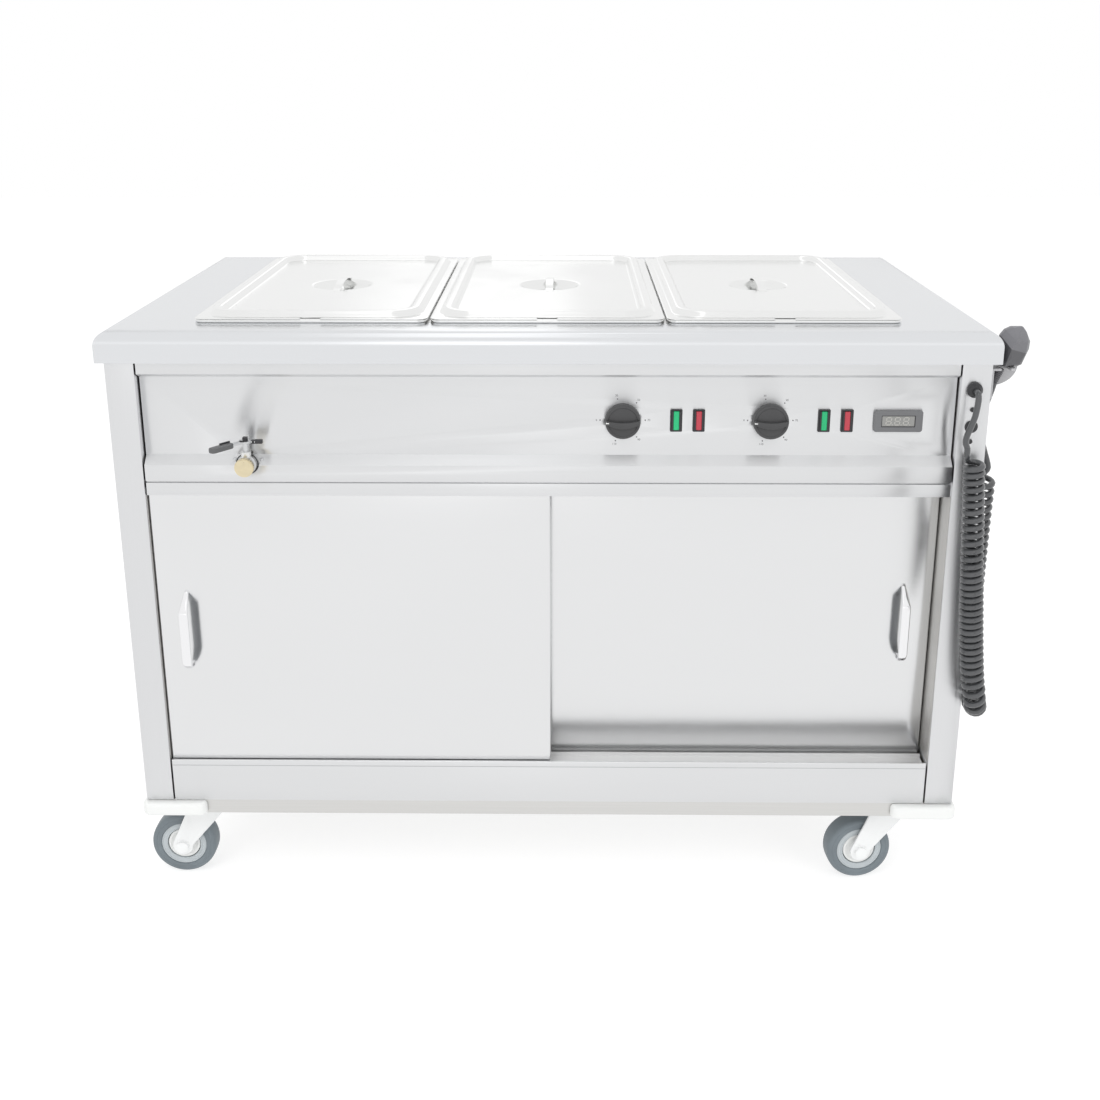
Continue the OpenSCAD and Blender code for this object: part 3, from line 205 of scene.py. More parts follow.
LOOKS = {
    "stainless": brushed("stainless", (0.806, 0.812, 0.820), 0.31, grain=0.008, aniso=0.94,
                         strength=0.006),
    "track_steel": brushed("track_steel", (0.76, 0.76, 0.76), 0.45, aniso=0.6, metallic=0.3),
    # A pale matt white for the plinth lip: painted light
    "lip_painted_light": brushed("lip_painted_light", (0.93, 0.93, 0.93), 0.55, aniso=0.3, metallic=0.0),
    # A darker, half-metal steel for the jambs: painted shade
    "jamb_painted_shade_steel": brushed("jamb_painted_shade_steel", (0.56, 0.55, 0.53), 0.30, along="Z", metallic=0.6),
    "stainless_up": brushed("stainless_up", (0.785, 0.790, 0.800), 0.36, along="Z", aniso=0.6),
    "worktop_steel": brushed("worktop_steel", (0.788, 0.800, 0.818), 0.20, aniso=0.5),
    "door_steel": brushed("door_steel", (0.826, 0.830, 0.836)),
    "inner_steel": brushed("inner_steel", (0.72, 0.72, 0.71), 0.30, grain=0.04),
    "chassis_steel": brushed("chassis_steel", (0.72, 0.715, 0.70), 0.36, grain=0.05, aniso=0.4),
    "pan_steel": metal("pan_steel", (0.890, 0.893, 0.888), 0.17, vary=0.008, size=14, bump=0.004),
    "chrome": metal("chrome", (0.93, 0.93, 0.94), 0.10, vary=0.01, bump=0.005),
    # A dark chrome for the bows' backs: a duller finish, darkened further as painted shade
    "dull_chrome_painted_shade": metal("dull_chrome_painted_shade", (0.34, 0.35, 0.36), 0.35, vary=0.03),
    "nickel": metal("nickel", (0.84, 0.84, 0.83), 0.26, vary=0.03, size=60),
    "rod_sheath": metal("rod_sheath", (0.22, 0.22, 0.23), 0.45, vary=0.15),
    "zinc": metal("zinc", (0.72, 0.73, 0.74), 0.32, vary=0.08, size=60),
    "brass": metal("brass", (0.82, 0.72, 0.50), 0.33, vary=0.08, size=90),
    "wool": coated("wool", (0.80, 0.72, 0.46), 0.95, vary=0.18, size=60, bump=0.6, depth=0.003),
    "white_plastic": coated("white_plastic", (0.80, 0.81, 0.80), 0.38, vary=0.015, size=20),
    "white_paint": coated("white_paint", (0.84, 0.85, 0.85), 0.30, vary=0.02, size=24, Coat_Weight=0.25),
    "black_plastic": coated("black_plastic", (0.030, 0.030, 0.033), 0.42, vary=0.2),
    "knob_plastic": coated("knob_plastic", (0.055, 0.055, 0.057), 0.45, vary=0.12),
    "plug_plastic": coated("plug_plastic", (0.085, 0.085, 0.092), 0.40, vary=0.10, size=50, bump=0.08),
    # Lighter and darker copies of the plug's plastic: painted light and shade for its facets
    "plug_painted_highlight": coated("plug_painted_highlight", (0.150, 0.150, 0.162), 0.40, vary=0.10, size=50, bump=0.08),
    "plug_painted_shade": coated("plug_painted_shade", (0.050, 0.050, 0.055), 0.40, vary=0.10, size=50, bump=0.08),
    "cord_rubber": coated("cord_rubber", (0.064, 0.066, 0.070), 0.28, vary=0.10, size=80, Coat_Weight=0.6),
    "sleeve": coated("sleeve", (0.105, 0.107, 0.110), 0.38, vary=0.08),
    "tyre_rubber": coated("tyre_rubber", (0.165, 0.195, 0.215), 0.55, vary=0.10, size=50, bump=0.10),
    "rim_plastic": coated("rim_plastic", (0.47, 0.51, 0.53), 0.40, vary=0.04),
    "control_plastic": coated("control_plastic", (0.84, 0.83, 0.79), 0.50),
    "green_lens": coated("green_lens", (0.008, 0.43, 0.165), 0.30, vary=0.10, bump=0.0, Coat_Weight=0.15),
    "red_lens": coated("red_lens", (0.46, 0.040, 0.062), 0.30, vary=0.10, bump=0.0, Coat_Weight=0.15),
    "bezel_plastic": coated("bezel_plastic", (0.150, 0.152, 0.158), 0.42, vary=0.05),
    "window": coated("window", (0.26, 0.26, 0.25), 0.22, vary=0.05, bump=0.0, Coat_Weight=0.4),
    "digits": coated("digits", (0.40, 0.395, 0.37), 0.40, vary=0.03),
    "ink": coated("ink", (0.05, 0.05, 0.055), 0.60, vary=0.05),
    "pedal_paint": coated("pedal_paint", (0.30, 0.31, 0.32), 0.38, vary=0.06),
    "park_paint": coated("park_paint", (0.42, 0.42, 0.43), 0.42, vary=0.05),
    # Grey for a painted shadow line
    "shadow_line_grey": coated("shadow_line_grey", (0.35, 0.36, 0.37), 0.45, vary=0.05),
}

# The CAD nodes that are seen as they are
NODE_LOOKS = {
    "stainless": ["control_fascia", "door_header", "plinth_rail"],
    "track_steel": ["bottom_track"],
    "stainless_up": ["left_side_panel", "right_side_panel"],
    "worktop_steel": ["worktop"],
    "door_steel": ["left_door", "right_door"],
    "inner_steel": ["well_tank", "cross_bars", "back_panel", "base_panel", "cupboard_liners",
                    "cupboard_floor", "cupboard_ceiling", "mid_shelf"],
    "chassis_steel": ["chassis_frame"],
    "rod_sheath": ["well_element", "cupboard_element"],
    "zinc": ["caster_plates", "caster_bolts"],
    "nickel": ["drain_valve"],
    "brass": ["drain_cap"],
    "wool": ["insulation_slabs"],
    "white_plastic": ["corner_bumpers"],
    "white_paint": ["fork_fl", "fork_fr", "fork_rl", "fork_rr"],
    "black_plastic": ["lamp_bezels", "cord_gland", "post_fittings"],
    "control_plastic": ["thermostats", "terminal_block"],
    "window": ["display_window"],
    "pedal_paint": ["brake_pedal_rl", "brake_pedal_rr"],
    "park_paint": ["plug_park"],
}

for look, names in NODE_LOOKS.items():
    for name in names:
        data = nodes[name].data
        data.materials.clear()
        data.materials.append(LOOKS[look])


# Smoothing

def smooth_group(angle):
    """A node group that shades a mesh smooth where its faces meet under an angle."""
    group = bpy.data.node_groups.new(f"smooth_{angle}", "GeometryNodeTree")
    group.interface.new_socket("Geometry", in_out="INPUT", socket_type="NodeSocketGeometry")
    group.interface.new_socket("Geometry", in_out="OUTPUT", socket_type="NodeSocketGeometry")
    start, merge, edge, large, normal, end = (group.nodes.new(kind) for kind in (
        "NodeGroupInput", "GeometryNodeMergeByDistance", "GeometryNodeInputMeshEdgeAngle",
        "FunctionNodeCompare", "GeometryNodeSetMeshNormal", "NodeGroupOutput"))
    merge.inputs["Distance"].default_value = ALIKE
    large.data_type = "FLOAT"
    large.operation = "GREATER_THAN"
    large.inputs[1].default_value = math.radians(angle)
    normal.mode = "SHARPNESS"
    normal.inputs["Remove Custom"].default_value = True
    link = group.links.new
    link(start.outputs[0], merge.inputs[0])
    link(merge.outputs[0], normal.inputs[0])
    link(edge.outputs["Unsigned Angle"], large.inputs[0])
    link(large.outputs[0], normal.inputs["Edge Sharpness"])
    link(normal.outputs[0], end.inputs[0])
    return group


SHARP = 34                  # degrees from which an edge looks sharp
EDGE_ANGLE = 38             # and from which it is softened
SMOOTH = smooth_group(SHARP)
# Width of the softened edges of the CAD nodes
EDGES = {
    0.5: ["left_side_panel", "right_side_panel", "control_fascia", "door_header", "bottom_track",
          "plinth_rail", "left_door", "right_door"],
    0.35: ["lamp_bezels", "chassis_frame", "plug_park", "caster_plates"],
    1.2: ["fork_fl", "fork_fr", "fork_rl", "fork_rr", "brake_pedal_rl", "brake_pedal_rr"],
    0.4: ["drain_cap"],
    1.5: ["corner_bumpers"],
}


def soften(obj, width):
    """Rounds the sharp edges of a CAD node, over faces that are joined and merged first."""
    weld = obj.modifiers.new("weld", "WELD")
    weld.merge_threshold = ALIKE
    flat = obj.modifiers.new("flat", "DECIMATE")
    flat.decimate_type = "DISSOLVE"
    flat.angle_limit = math.radians(0.6)
    bevel = obj.modifiers.new("bevel", "BEVEL")
    bevel.width = width * MM
    bevel.segments = 2
    bevel.limit_method = "ANGLE"
    bevel.angle_limit = math.radians(EDGE_ANGLE)
    bevel.use_clamp_overlap = True


for width, names in EDGES.items():
    for name in names:
        soften(nodes[name], width)
for obj in nodes.values():
    modifier = obj.modifiers.new("smooth", "NODES")
    modifier.node_group = SMOOTH


# Mesh helpers

def joined(*meshes):
    """Several (points, faces) meshes as one."""
    points, faces = [], []
    for more, their in meshes:
        faces += [[i + len(points) for i in face] for face in their]
        points += [Vector(p) for p in more]
    return points, faces


def moved(mesh, matrix):
    return [matrix @ Vector(p) for p in mesh[0]], mesh[1]


def loft(rings, capped=True, closed=False):
    """A skin through rings of the same number of points."""
    n, m = len(rings[0]), len(rings)
    points = [Vector(p) for ring in rings for p in ring]
    faces = [[i * n + k, i * n + (k + 1) % n, (i + 1) % m * n + (k + 1) % n, (i + 1) % m * n + k]
             for i in range(m if closed else m - 1) for k in range(n)]
    if capped and not closed:
        faces += [list(range(n))[::-1], [(m - 1) * n + k for k in range(n)]]
    return points, faces


def lathe(profile, steps=72):
    """A profile of (radius, height) turned about Z: a solid if its radius starts at 0, or else a ring."""
    solid = profile[0][0] == 0
    turns = [math.tau * k / steps for k in range(steps)]
    rings = [[(r * math.cos(a), r * math.sin(a), h) for a in turns]
             for r, h in (profile[1:-1] if solid else profile)]
    return loft(rings, capped=solid, closed=not solid)


def mirrored(half):
    """A closed profile, from the half of it below the middle."""
    return half + [(r, -h) for r, h in reversed(half)]


def prism(outline, z0, z1):
    return loft([[(x, y, z) for x, y in outline] for z in (z0, z1)])


def slab(x0, x1, y0, y1, z0, z1, edge=0.4, corner=0.0, steps=5):
    """A block with rounded corners in plan and softened edges."""
    corner = max(corner, edge)
    rings = []
    for inset, z in ((edge, z0), (edge * 0.3, z0 + edge * 0.3), (0, z0 + edge), (0, z1 - edge),
                     (edge * 0.3, z1 - edge * 0.3), (edge, z1)):
        r = max(corner - inset, 0.02)
        ring = []
        for q, (cx, cy) in enumerate(((x1 - corner, y1 - corner), (x0 + corner, y1 - corner),
                                      (x0 + corner, y0 + corner), (x1 - corner, y0 + corner))):
            for k in range(steps + 1):
                a = math.pi / 2 * (q + k / steps)
                ring.append((cx + r * math.cos(a), cy + r * math.sin(a), z))
        rings.append(ring)
    return loft(rings)


def hull(points):
    """The convex body round some points."""
    grid = bmesh.new()
    for point in points:
        grid.verts.new(point)
    found = bmesh.ops.convex_hull(grid, input=grid.verts)
    loose = {v for v in found["geom_interior"] + found["geom_unused"] if isinstance(v, bmesh.types.BMVert)}
    bmesh.ops.delete(grid, geom=list(loose), context="VERTS")
    bmesh.ops.dissolve_limit(grid, angle_limit=math.radians(1), verts=grid.verts, edges=grid.edges)
    grid.verts.index_update()
    mesh = [v.co.copy() for v in grid.verts], [[v.index for v in f.verts] for f in grid.faces]
    grid.free()
    return mesh


def facing(x, y, z):
    """Puts a mesh on the front: its x to the right, its y up and its z to the front."""
    return Matrix.Translation((x, y, z)) @ Matrix.Rotation(math.pi / 2, 4, "X")


def piece(name, mesh, look, body="cabinet", stands_for=(), sharp=SHARP):
    """A new piece of the model, from a mesh in millimetres about the middle of the body."""
    data = bpy.data.meshes.new(name)
    data.from_pydata([tuple(at_body(p)) for p in mesh[0]], [], mesh[1])
    grid = bmesh.new()
    grid.from_mesh(data)
    bmesh.ops.remove_doubles(grid, verts=grid.verts, dist=ALIKE)
    bmesh.ops.recalc_face_normals(grid, faces=grid.faces)
    grid.to_mesh(data)
    grid.free()
    data.shade_smooth()
    data.set_sharp_from_angle(angle=math.radians(sharp))
    data.materials.append(LOOKS[look])
    obj = placed(name, data)
    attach(obj, body)
    if stands_for:
        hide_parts(*stands_for)
    return obj


def smooth_path(points, steps):
    """A Catmull-Rom curve through the points, with steps to each run."""
    points = [Vector(p) for p in points]
    ends = [2 * points[0] - points[1]] + points + [2 * points[-1] - points[-2]]
    out = []
    for i in range(len(points) - 1):
        a, b, c, d = ends[i:i + 4]
        for k in range(steps):
            t = k / steps
            out.append(0.5 * (2 * b + (c - a) * t + (2 * a - 5 * b + 4 * c - d) * t ** 2
                              + (3 * b - a - 3 * c + d) * t ** 3))
    return out + [points[-1]]


# Mains cord

WIRE = 8.4                  # diameter of the cord
CURL_STEPS = 8              # points to each curl
LEAD = [(578, -325.5, 800), (577.8, -333, 799.2), (577, -339.5, 796), (575.6, -343.5, 790.5),
        (574.2, -345.5, 782), (572.6, -346, 772), (570.2, -346, 763), (567.6, -345.5, 754.5),
        (565.2, -344.5, 746), (564, -343, 738), (565, -341.2, 731), (568, -340, 724)]
TAIL = [(616.5, -284.5, 684), (612, -284, 698), (608, -282, 712), (606.5, -281, 726), (606.2, -281, 742),
        (605.8, -283, 758), (605.4, -288.5, 773), (605.4, -296, 785), (606.2, -301.5, 796),
        (607.6, -303.5, 806), (610, -303.5, 815), (613, -303.5, 824)]
# Curls so far, x, y, z and the radius of the curls
STATIONS = [(0, 579, -339.5, 704.5, 11), (2, 580, -339.5, 686, 11), (6, 583, -339.5, 644, 11.2),
            (10, 586, -339.5, 599, 11.6), (14, 589, -339.5, 554, 12), (19, 593, -339.5, 504, 12.4),
            (24, 597, -339.5, 455, 12.6), (29, 602, -339.5, 405, 12.6), (31.6, 606, -339, 376, 12.4),
            (32.8, 609, -338.5, 361, 12.2), (34.2, 613, -334, 341.5, 12), (35.6, 619, -321, 328, 12),
            (36.95, 622, -302.5, 323, 12), (38.3, 622, -284, 328, 12), (39.65, 620.5, -270.5, 341.5, 12),
            (40.95, 619, -266, 360, 12.2), (43.4, 618.5, -265.5, 389, 12.4), (47.6, 618.5, -265.5, 431, 12.6),
            (52.6, 618, -265.5, 490, 12.4), (57.6, 618, -266.5, 547, 12.2), (62.6, 618, -268.5, 605, 12),
            (68, 618, -272.5, 671, 11.8)]


def axis_at(t):
    """The curls' axis point and radius after t curls, on a smooth curve through the stations."""
    last = len(STATIONS) - 1

    def slope(k):
        a, b = STATIONS[max(k - 1, 0)], STATIONS[min(k + 1, last)]
        return [(q - p) / (b[0] - a[0]) for p, q in zip(a[1:], b[1:])]

    k = next((i for i in range(last - 1) if t < STATIONS[i + 1][0]), last - 1)
    h = STATIONS[k + 1][0] - STATIONS[k][0]
    u = (t - STATIONS[k][0]) / h
    weights = (2 * u ** 3 - 3 * u ** 2 + 1, (u ** 3 - 2 * u ** 2 + u) * h, 3 * u ** 2 - 2 * u ** 3,
               (u ** 3 - u ** 2) * h)
    rows = (STATIONS[k][1:], slope(k), STATIONS[k + 1][1:], slope(k + 1))
    return [sum(w * row[n] for w, row in zip(weights, rows)) for n in range(4)]


def curl_points():
    """The curls, wound round their axis without a twist of their own."""
    count = int(STATIONS[-1][0] * CURL_STEPS)
    axis = [axis_at(i / CURL_STEPS) for i in range(count + 1)]
    centres = [Vector(a[:3]) for a in axis]
    side, out = Vector((-1, 0, 0)), []
    for i, centre in enumerate(centres):
        ahead = (centres[min(i + 1, count)] - centre).normalized() if i < count else Vector()
        behind = (centre - centres[max(i - 1, 0)]).normalized() if i else Vector()
        way = (ahead + behind).normalized()
        side = (side - side.dot(way) * way).normalized()
        angle = math.tau * i / CURL_STEPS
        out.append(centre + axis[i][3] * (math.cos(angle) * side + math.sin(angle) * way.cross(side)))
    return out


curls = curl_points()
drop = Vector((0, 0, WIRE))
last_curl = len(curls) - CURL_STEPS
route = ([Vector(p) for p in LEAD] + [Vector(LEAD[-1]) - drop, curls[1] + drop / 4] + curls[2:last_curl]
         + [curls[last_curl] + drop / 4, Vector(TAIL[0]) - drop] + [Vector(p) for p in TAIL])
line = [at_body(p) for p in smooth_path(route, 2)]

cord_curve = bpy.data.curves.new("mains_cord", "CURVE")
cord_curve.dimensions = "3D"
cord_curve.bevel_depth = WIRE / 2 * MM
cord_curve.bevel_resolution = 4
cord_curve.use_fill_caps = True
spline = cord_curve.splines.new("POLY")
spline.points.add(len(line) - 1)
for point, place in zip(spline.points, line):
    point.co = (*place, 1)
cord_curve.materials.append(LOOKS["cord_rubber"])
mains_cord = placed("mains_cord", cord_curve)
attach(mains_cord, "cabinet")
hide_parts("cord_lead", "curly_cord", "cord_tail")

# The moulded sleeve, with its ribs, where the tail enters the plug
RELIEF_TIP, RELIEF_LEAN, RELIEF_LENGTH = (614.2, -303.5, 827.5), 19, 22
relief = [(4.25, 0)]
for k in range(7):
    z, r = 2.6 * k, 5.0 + 0.16 * k
    relief += [(r, z + 0.3), (r + 0.25, z + 0.8), (r + 0.1, z + 1.5), (r - 0.75, z + 1.8),
               (r - 0.75, z + 2.4)]
relief += [(5.9, 18.6), (5.9, RELIEF_LENGTH), (4.25, RELIEF_LENGTH)]
lean = (Matrix.Translation(RELIEF_TIP) @ Matrix.Rotation(math.radians(RELIEF_LEAN), 4, "Y")
        @ Matrix.Translation((0, 0, -RELIEF_LENGTH)))
plug_relief = piece("plug_relief", moved(lathe(relief, 40), lean), "plug_plastic")

# The plug: the outline of its rear part in x and z, which is drawn in at the pins' face, and then the
# corners of its front
PLUG_RIM = [(611.2, 872), (617, 880), (625.5, 884), (640.5, 884), (645.5, 877.5), (651.6, 864), (651, 853.5),
            (646.5, 842), (643, 832), (637, 829.2), (620, 829.2), (611.8, 831)]
PLUG_X, PLUG_Z, PLUG_HALF_WIDTH, PLUG_HALF_HEIGHT = 631, 857, 21, 28
facets = [(PLUG_X + (x - PLUG_X) * (1 - shrink / PLUG_HALF_WIDTH), y,
           PLUG_Z + (z - PLUG_Z) * (1 - shrink / PLUG_HALF_HEIGHT))
          for y, shrink in ((-302, 0), (-296, 0), (-294.5, 1.2)) for x, z in PLUG_RIM]
facets += [(626.5, -325.5, 868.5), (619, -327, 858.5), (615.5, -318, 834), (627.5, -306, 884),
           (645.5, -312, 866), (643.5, -313, 850), (637.5, -309, 833.5), (622, -322, 846)]
pins = [slab(627, 631, -294.6, -273, 867.5, 875.5, 0.5),
        slab(614.8, 621.2, -294.6, -277.5, 846.5, 850.5, 0.5),
        slab(636.8, 643.2, -294.6, -277.5, 846.5, 850.5, 0.5)]
plug_shell = piece("plug_shell", hull(facets), "plug_plastic", stands_for=["plug"],
                   sharp=12)
# Facets facing up, and facing right, take the lighter copy of the plug's plastic, and facets facing down and
# left the darker one: painted light and shade on one black plastic
for look in ("plug_painted_highlight", "plug_painted_shade"):
    plug_shell.data.materials.append(LOOKS[look])
for face in plug_shell.data.polygons:
    light = face.normal.z > 0.42 or face.normal.x > 0.3 and face.normal.z > -0.2
    dark = face.normal.z < -0.12 and face.normal.x < -0.2
    face.material_index = 1 if light else 2 if dark else 0
plug_pins = piece("plug_pins", joined(*pins), "nickel")


# Light and floor

def area_light(name, place, aim, size, watts):
    """A soft light. The steel doesn't mirror it."""
    data = bpy.data.lights.new(name, "AREA")
    data.shape = "RECTANGLE"
    data.size, data.size_y = size
    data.energy = watts
    lamp = placed(name, data)
    lamp.location = place
    lamp.rotation_euler = (Vector(aim) - Vector(place)).to_track_quat("-Z", "Y").to_euler()
    lamp.visible_glossy = False


area_light("key", (-1.8, -2.6, 3.2), (0, 0, 0.5), (2.4, 1.8), 46)
area_light("fill", (2.6, -2.4, 1.8), (0, 0, 0.5), (2.0, 2.0), 22)
area_light("top", (0.2, 0.4, 3.6), (0, 0, 0.5), (3.2, 2.4), 36)


def bare_tree(data):
    """The emptied node tree of a world or a material."""
    data.use_nodes = True
    data.node_tree.nodes.clear()
    return data.node_tree


scene.world = bpy.data.worlds.new("studio")
studio = bare_tree(scene.world)


def calc(operation, a, b):
    return add_node(studio, "ShaderNodeMath", {0: a, 1: b}, operation=operation).outputs[0]


def ramp(value, start, end):
    """From 0 at start to 1 at end, with soft ends."""
    return add_node(studio, "ShaderNodeMapRange", {"Value": value, "From Min": start, "From Max": end},
                    interpolation_type="SMOOTHSTEP").outputs[0]


def window(*edges):
    """1 inside all the edges, each an output with its start and end, and 0 outside them."""
    inside = 1.0
    for value, start, end in edges:
        inside = calc("MULTIPLY", ramp(value, start, end), inside)
    return inside


# What the steel mirrors: an even pale room with two brighter windows, one above the other, and a low band
# of light in front
ROOM, MIRROR_FLOOR, WINDOW_GAIN, DIFFUSE = 0.94, 0.97, 0.42, 0.80
coordinates = add_node(studio, "ShaderNodeTexCoord").outputs["Generated"]
way = add_node(studio, "ShaderNodeSeparateXYZ", {0: coordinates}).outputs
across = ((way[0], -0.19, -0.11), (way[0], 0.012, -0.008))
low_window = window(*across, (way[2], 0.196, 0.214), (way[2], 0.62, 0.45))
high_window = window(*across, (way[2], 0.86, 0.91))
front = ((way[1], -0.78, -0.90), (way[2], 0.06, 0.14), (way[2], 0.46, 0.36))
front_band = calc("ADD", calc("MULTIPLY", window(*front), 0.30),
                  calc("MULTIPLY", window(*across, *front), 0.70))
glare = calc("ADD", calc("ADD", low_window, high_window), front_band)
room = calc("MULTIPLY", calc("ADD", calc("MULTIPLY", glare, WINDOW_GAIN), 1.0), ROOM)
rays = add_node(studio, "ShaderNodeLightPath").outputs
mirror = calc("MAXIMUM", rays["Is Glossy Ray"], rays["Is Transmission Ray"])
level = add_node(studio, "ShaderNodeMix", {0: mirror, 2: DIFFUSE, 3: room}, data_type="FLOAT").outputs[0]
level = add_node(studio, "ShaderNodeMix", {0: rays["Is Camera Ray"], 2: level, 3: 1.0},
                 data_type="FLOAT").outputs[0]
background = add_node(studio, "ShaderNodeBackground", {"Color": (1, 1, 1, 1), "Strength": level})
add_node(studio, "ShaderNodeOutputWorld", {"Surface": background.outputs[0]})


def stage_sheet(name, points, faces, material):
    """A sheet of the studio, which isn't a piece of the counter."""
    data = bpy.data.meshes.new(name)
    data.from_pydata(points, [], faces)
    data.materials.append(material)
    return placed(name, data)


# The floor shows shadows on white paper, and the steel mirrors it as plain paper
paper = bpy.data.materials.new("floor_paper")
ground = bare_tree(paper)
lit = add_node(ground, "ShaderNodeBsdfDiffuse", {"Color": (0.42, 0.42, 0.42, 1)})
glow = add_node(ground, "ShaderNodeEmission", {"Strength": 0.69})
plain = add_node(ground, "ShaderNodeEmission", {"Strength": MIRROR_FLOOR})
both = add_node(ground, "ShaderNodeAddShader", {0: lit.outputs[0], 1: glow.outputs[0]})
path = add_node(ground, "ShaderNodeLightPath")
seen = add_node(ground, "ShaderNodeMixShader", {0: path.outputs["Is Glossy Ray"], 1: both.outputs[0],
                                                2: plain.outputs[0]})
add_node(ground, "ShaderNodeOutputMaterial", {"Surface": seen.outputs[0]})
floor = stage_sheet("floor", [(-9, -9, 0), (9, -9, 0), (9, 9, 0), (-9, 9, 0)], [(0, 1, 2, 3)], paper)

# A dark strip that stands before the body's right edge and is seen only in reflections: a painted reflection
# of shade, which the right door mirrors as a dark band by its edge.
# Each row is its left edge, its right edge and the height.
SHADE_STRIP_Y = -500
SHADE_STRIP = [(607, 610, 395), (606, 617, 440), (606, 628, 520), (606, 629, 571), (605, 620, 590), (604, 617, 615),
        (604, 616, 640), (606, 616, 665), (609, 615, 680)]
shade_strip_material = bpy.data.materials.new("shade_strip_painted_shade")
shade_strip_tree = bare_tree(shade_strip_material)
dark = add_node(shade_strip_tree, "ShaderNodeEmission", {"Strength": 0.03})
add_node(shade_strip_tree, "ShaderNodeOutputMaterial", {"Surface": dark.outputs[0]})
shade_strip = stage_sheet("shade_strip", [tuple(at_body((x, SHADE_STRIP_Y, z))) for x0, x1, z in SHADE_STRIP for x in (x0, x1)],
                   [(2 * i, 2 * i + 1, 2 * i + 3, 2 * i + 2) for i in range(len(SHADE_STRIP) - 1)], shade_strip_material)
shade_strip.visible_camera = shade_strip.visible_diffuse = shade_strip.visible_shadow = shade_strip.visible_transmission = False


# Wheels

# Place of each castor and how far it is turned, in degrees
CASTORS = {"fl": (-524, -250, 0), "fr": (524, -250, 6), "rl": (-524, 250, -9), "rr": (524, 250, 13)}
TRAIL, WHEEL_RADIUS = 45, 50
TYRE = mirrored([(35.2, -14.0), (36.2, -15), (41.5, -15), (42.2, -14.6), (43, -15), (45, -14.8),
                 (47.2, -13.9), (48.8, -12.2), (49.6, -10), (49.9, -6), (WHEEL_RADIUS, -2)])
RIM = mirrored([(35.1, -13.2), (34.3, -14), (33, -14.1), (32.2, -13.3), (28.6, -13.3), (27.8, -14.1),
                (26.4, -14), (25.7, -13.2)][::-1])
DISC = mirrored([(24.7, -11.4), (24.2, -12.2), (22.6, -12.6), (20.8, -12.2), (19.8, -11.6), (13, -11.6),
                 (11.6, -12.4), (10.4, -14.6), (5.1, -14.8)][::-1])
for tag, (x, y, yaw) in CASTORS.items():
    swivel = Matrix.Translation((x, y, 0)) @ Matrix.Rotation(math.radians(yaw), 4, "Z")
    hub = swivel @ facing(-TRAIL, 0, WHEEL_RADIUS)
    wheel = f"wheel_{tag}"
    piece(f"tyre_{tag}", moved(lathe(TYRE, 96), hub), "tyre_rubber", wheel, [wheel])
    piece(f"rim_{tag}", moved(lathe(RIM, 80), hub), "rim_plastic", wheel)
    piece(f"wheel_disc_{tag}", moved(lathe(DISC, 72), hub), "white_plastic", wheel)


# Pans and lids

PAN_W, PAN_L, PITCH, FLANGE_Z, SHEET = 325, 530, 328, 885, 1.0
# Dish of the lid: radius and height
DISH = [(0.6, -14), (25, -14), (31, -13.5), (36.5, -11.6), (40.3, -8), (42.6, -4), (44, -1.7), (45.8, -0.45),
        (48, 0), (49.5, 0)]
# Ridge and flange of the lid: distance in from its edge, corner radius, height
RIDGE = [(35.5, 24, 0), (34, 25, 0), (32.6, 26, 0.5), (30.6, 28, 2.7), (28.2, 31, 6.2), (26.4, 33, 7.6),
         (24.4, 34, 8), (18.6, 39, 8), (16.6, 40, 7.6), (14.8, 41, 6.2), (12.6, 42, 2.4), (10.8, 43, 0.4),
         (9.4, 43, 0), (8.2, 43, 0), (1.3, 13, 0), (0.4, 13.6, -0.2), (0, 14, -0.6)]
# The pan from the middle of its floor to its rolled edge, and back below, in the same terms
PAN = [(162, 0.4, -150), (34, 37, -150), (28, 42, -148), (24, 46, -143), (21.3, 48, -134), (11.6, 54, -6),
       (11, 54, -2.4), (9.4, 55, -0.5), (7, 55, 0), (6, 55, 0), (3.2, 14, 0), (1.7, 14, -0.35),
       (0.6, 14, -1.2), (0.1, 14, -2.4), (0.3, 14, -3.6), (1.1, 13.4, -4.6), (2.2, 12.4, -4.9),
       (2.6, 12, -4.2), (1.8, 12.6, -3.2), (2.2, 12.4, -2), (4, 12, -1.3), (8, 55, -1.3), (9.6, 54, -1.7),
       (10.3, 53.6, -6), (20.2, 48.6, -135), (23, 47, -144.5), (27.4, 43, -149.5), (34, 38, -151),
       (162, 0.4, -151)]
LID_CORNER = 14
NOTCH_W, NOTCH_L = 28, 10.6


def round_ring(w, l, r, z, steps=12):
    """A rectangle with rounded corners, as a ring of points."""
    ring = []
    for q, (sx, sy) in enumerate(((1, 1), (-1, 1), (-1, -1), (1, -1))):
        for k in range(steps + 1):
            a = math.pi / 2 * (q + k / steps)
            ring.append((sx * (w / 2 - r) + r * math.cos(a), sy * (l / 2 - r) + r * math.sin(a), z))
    return ring


def inset_rings(profile):
    return [round_ring(max(PAN_W - 2 * i, 2 * r), max(PAN_L - 2 * i, 2 * r), r, z) for i, r, z in profile]


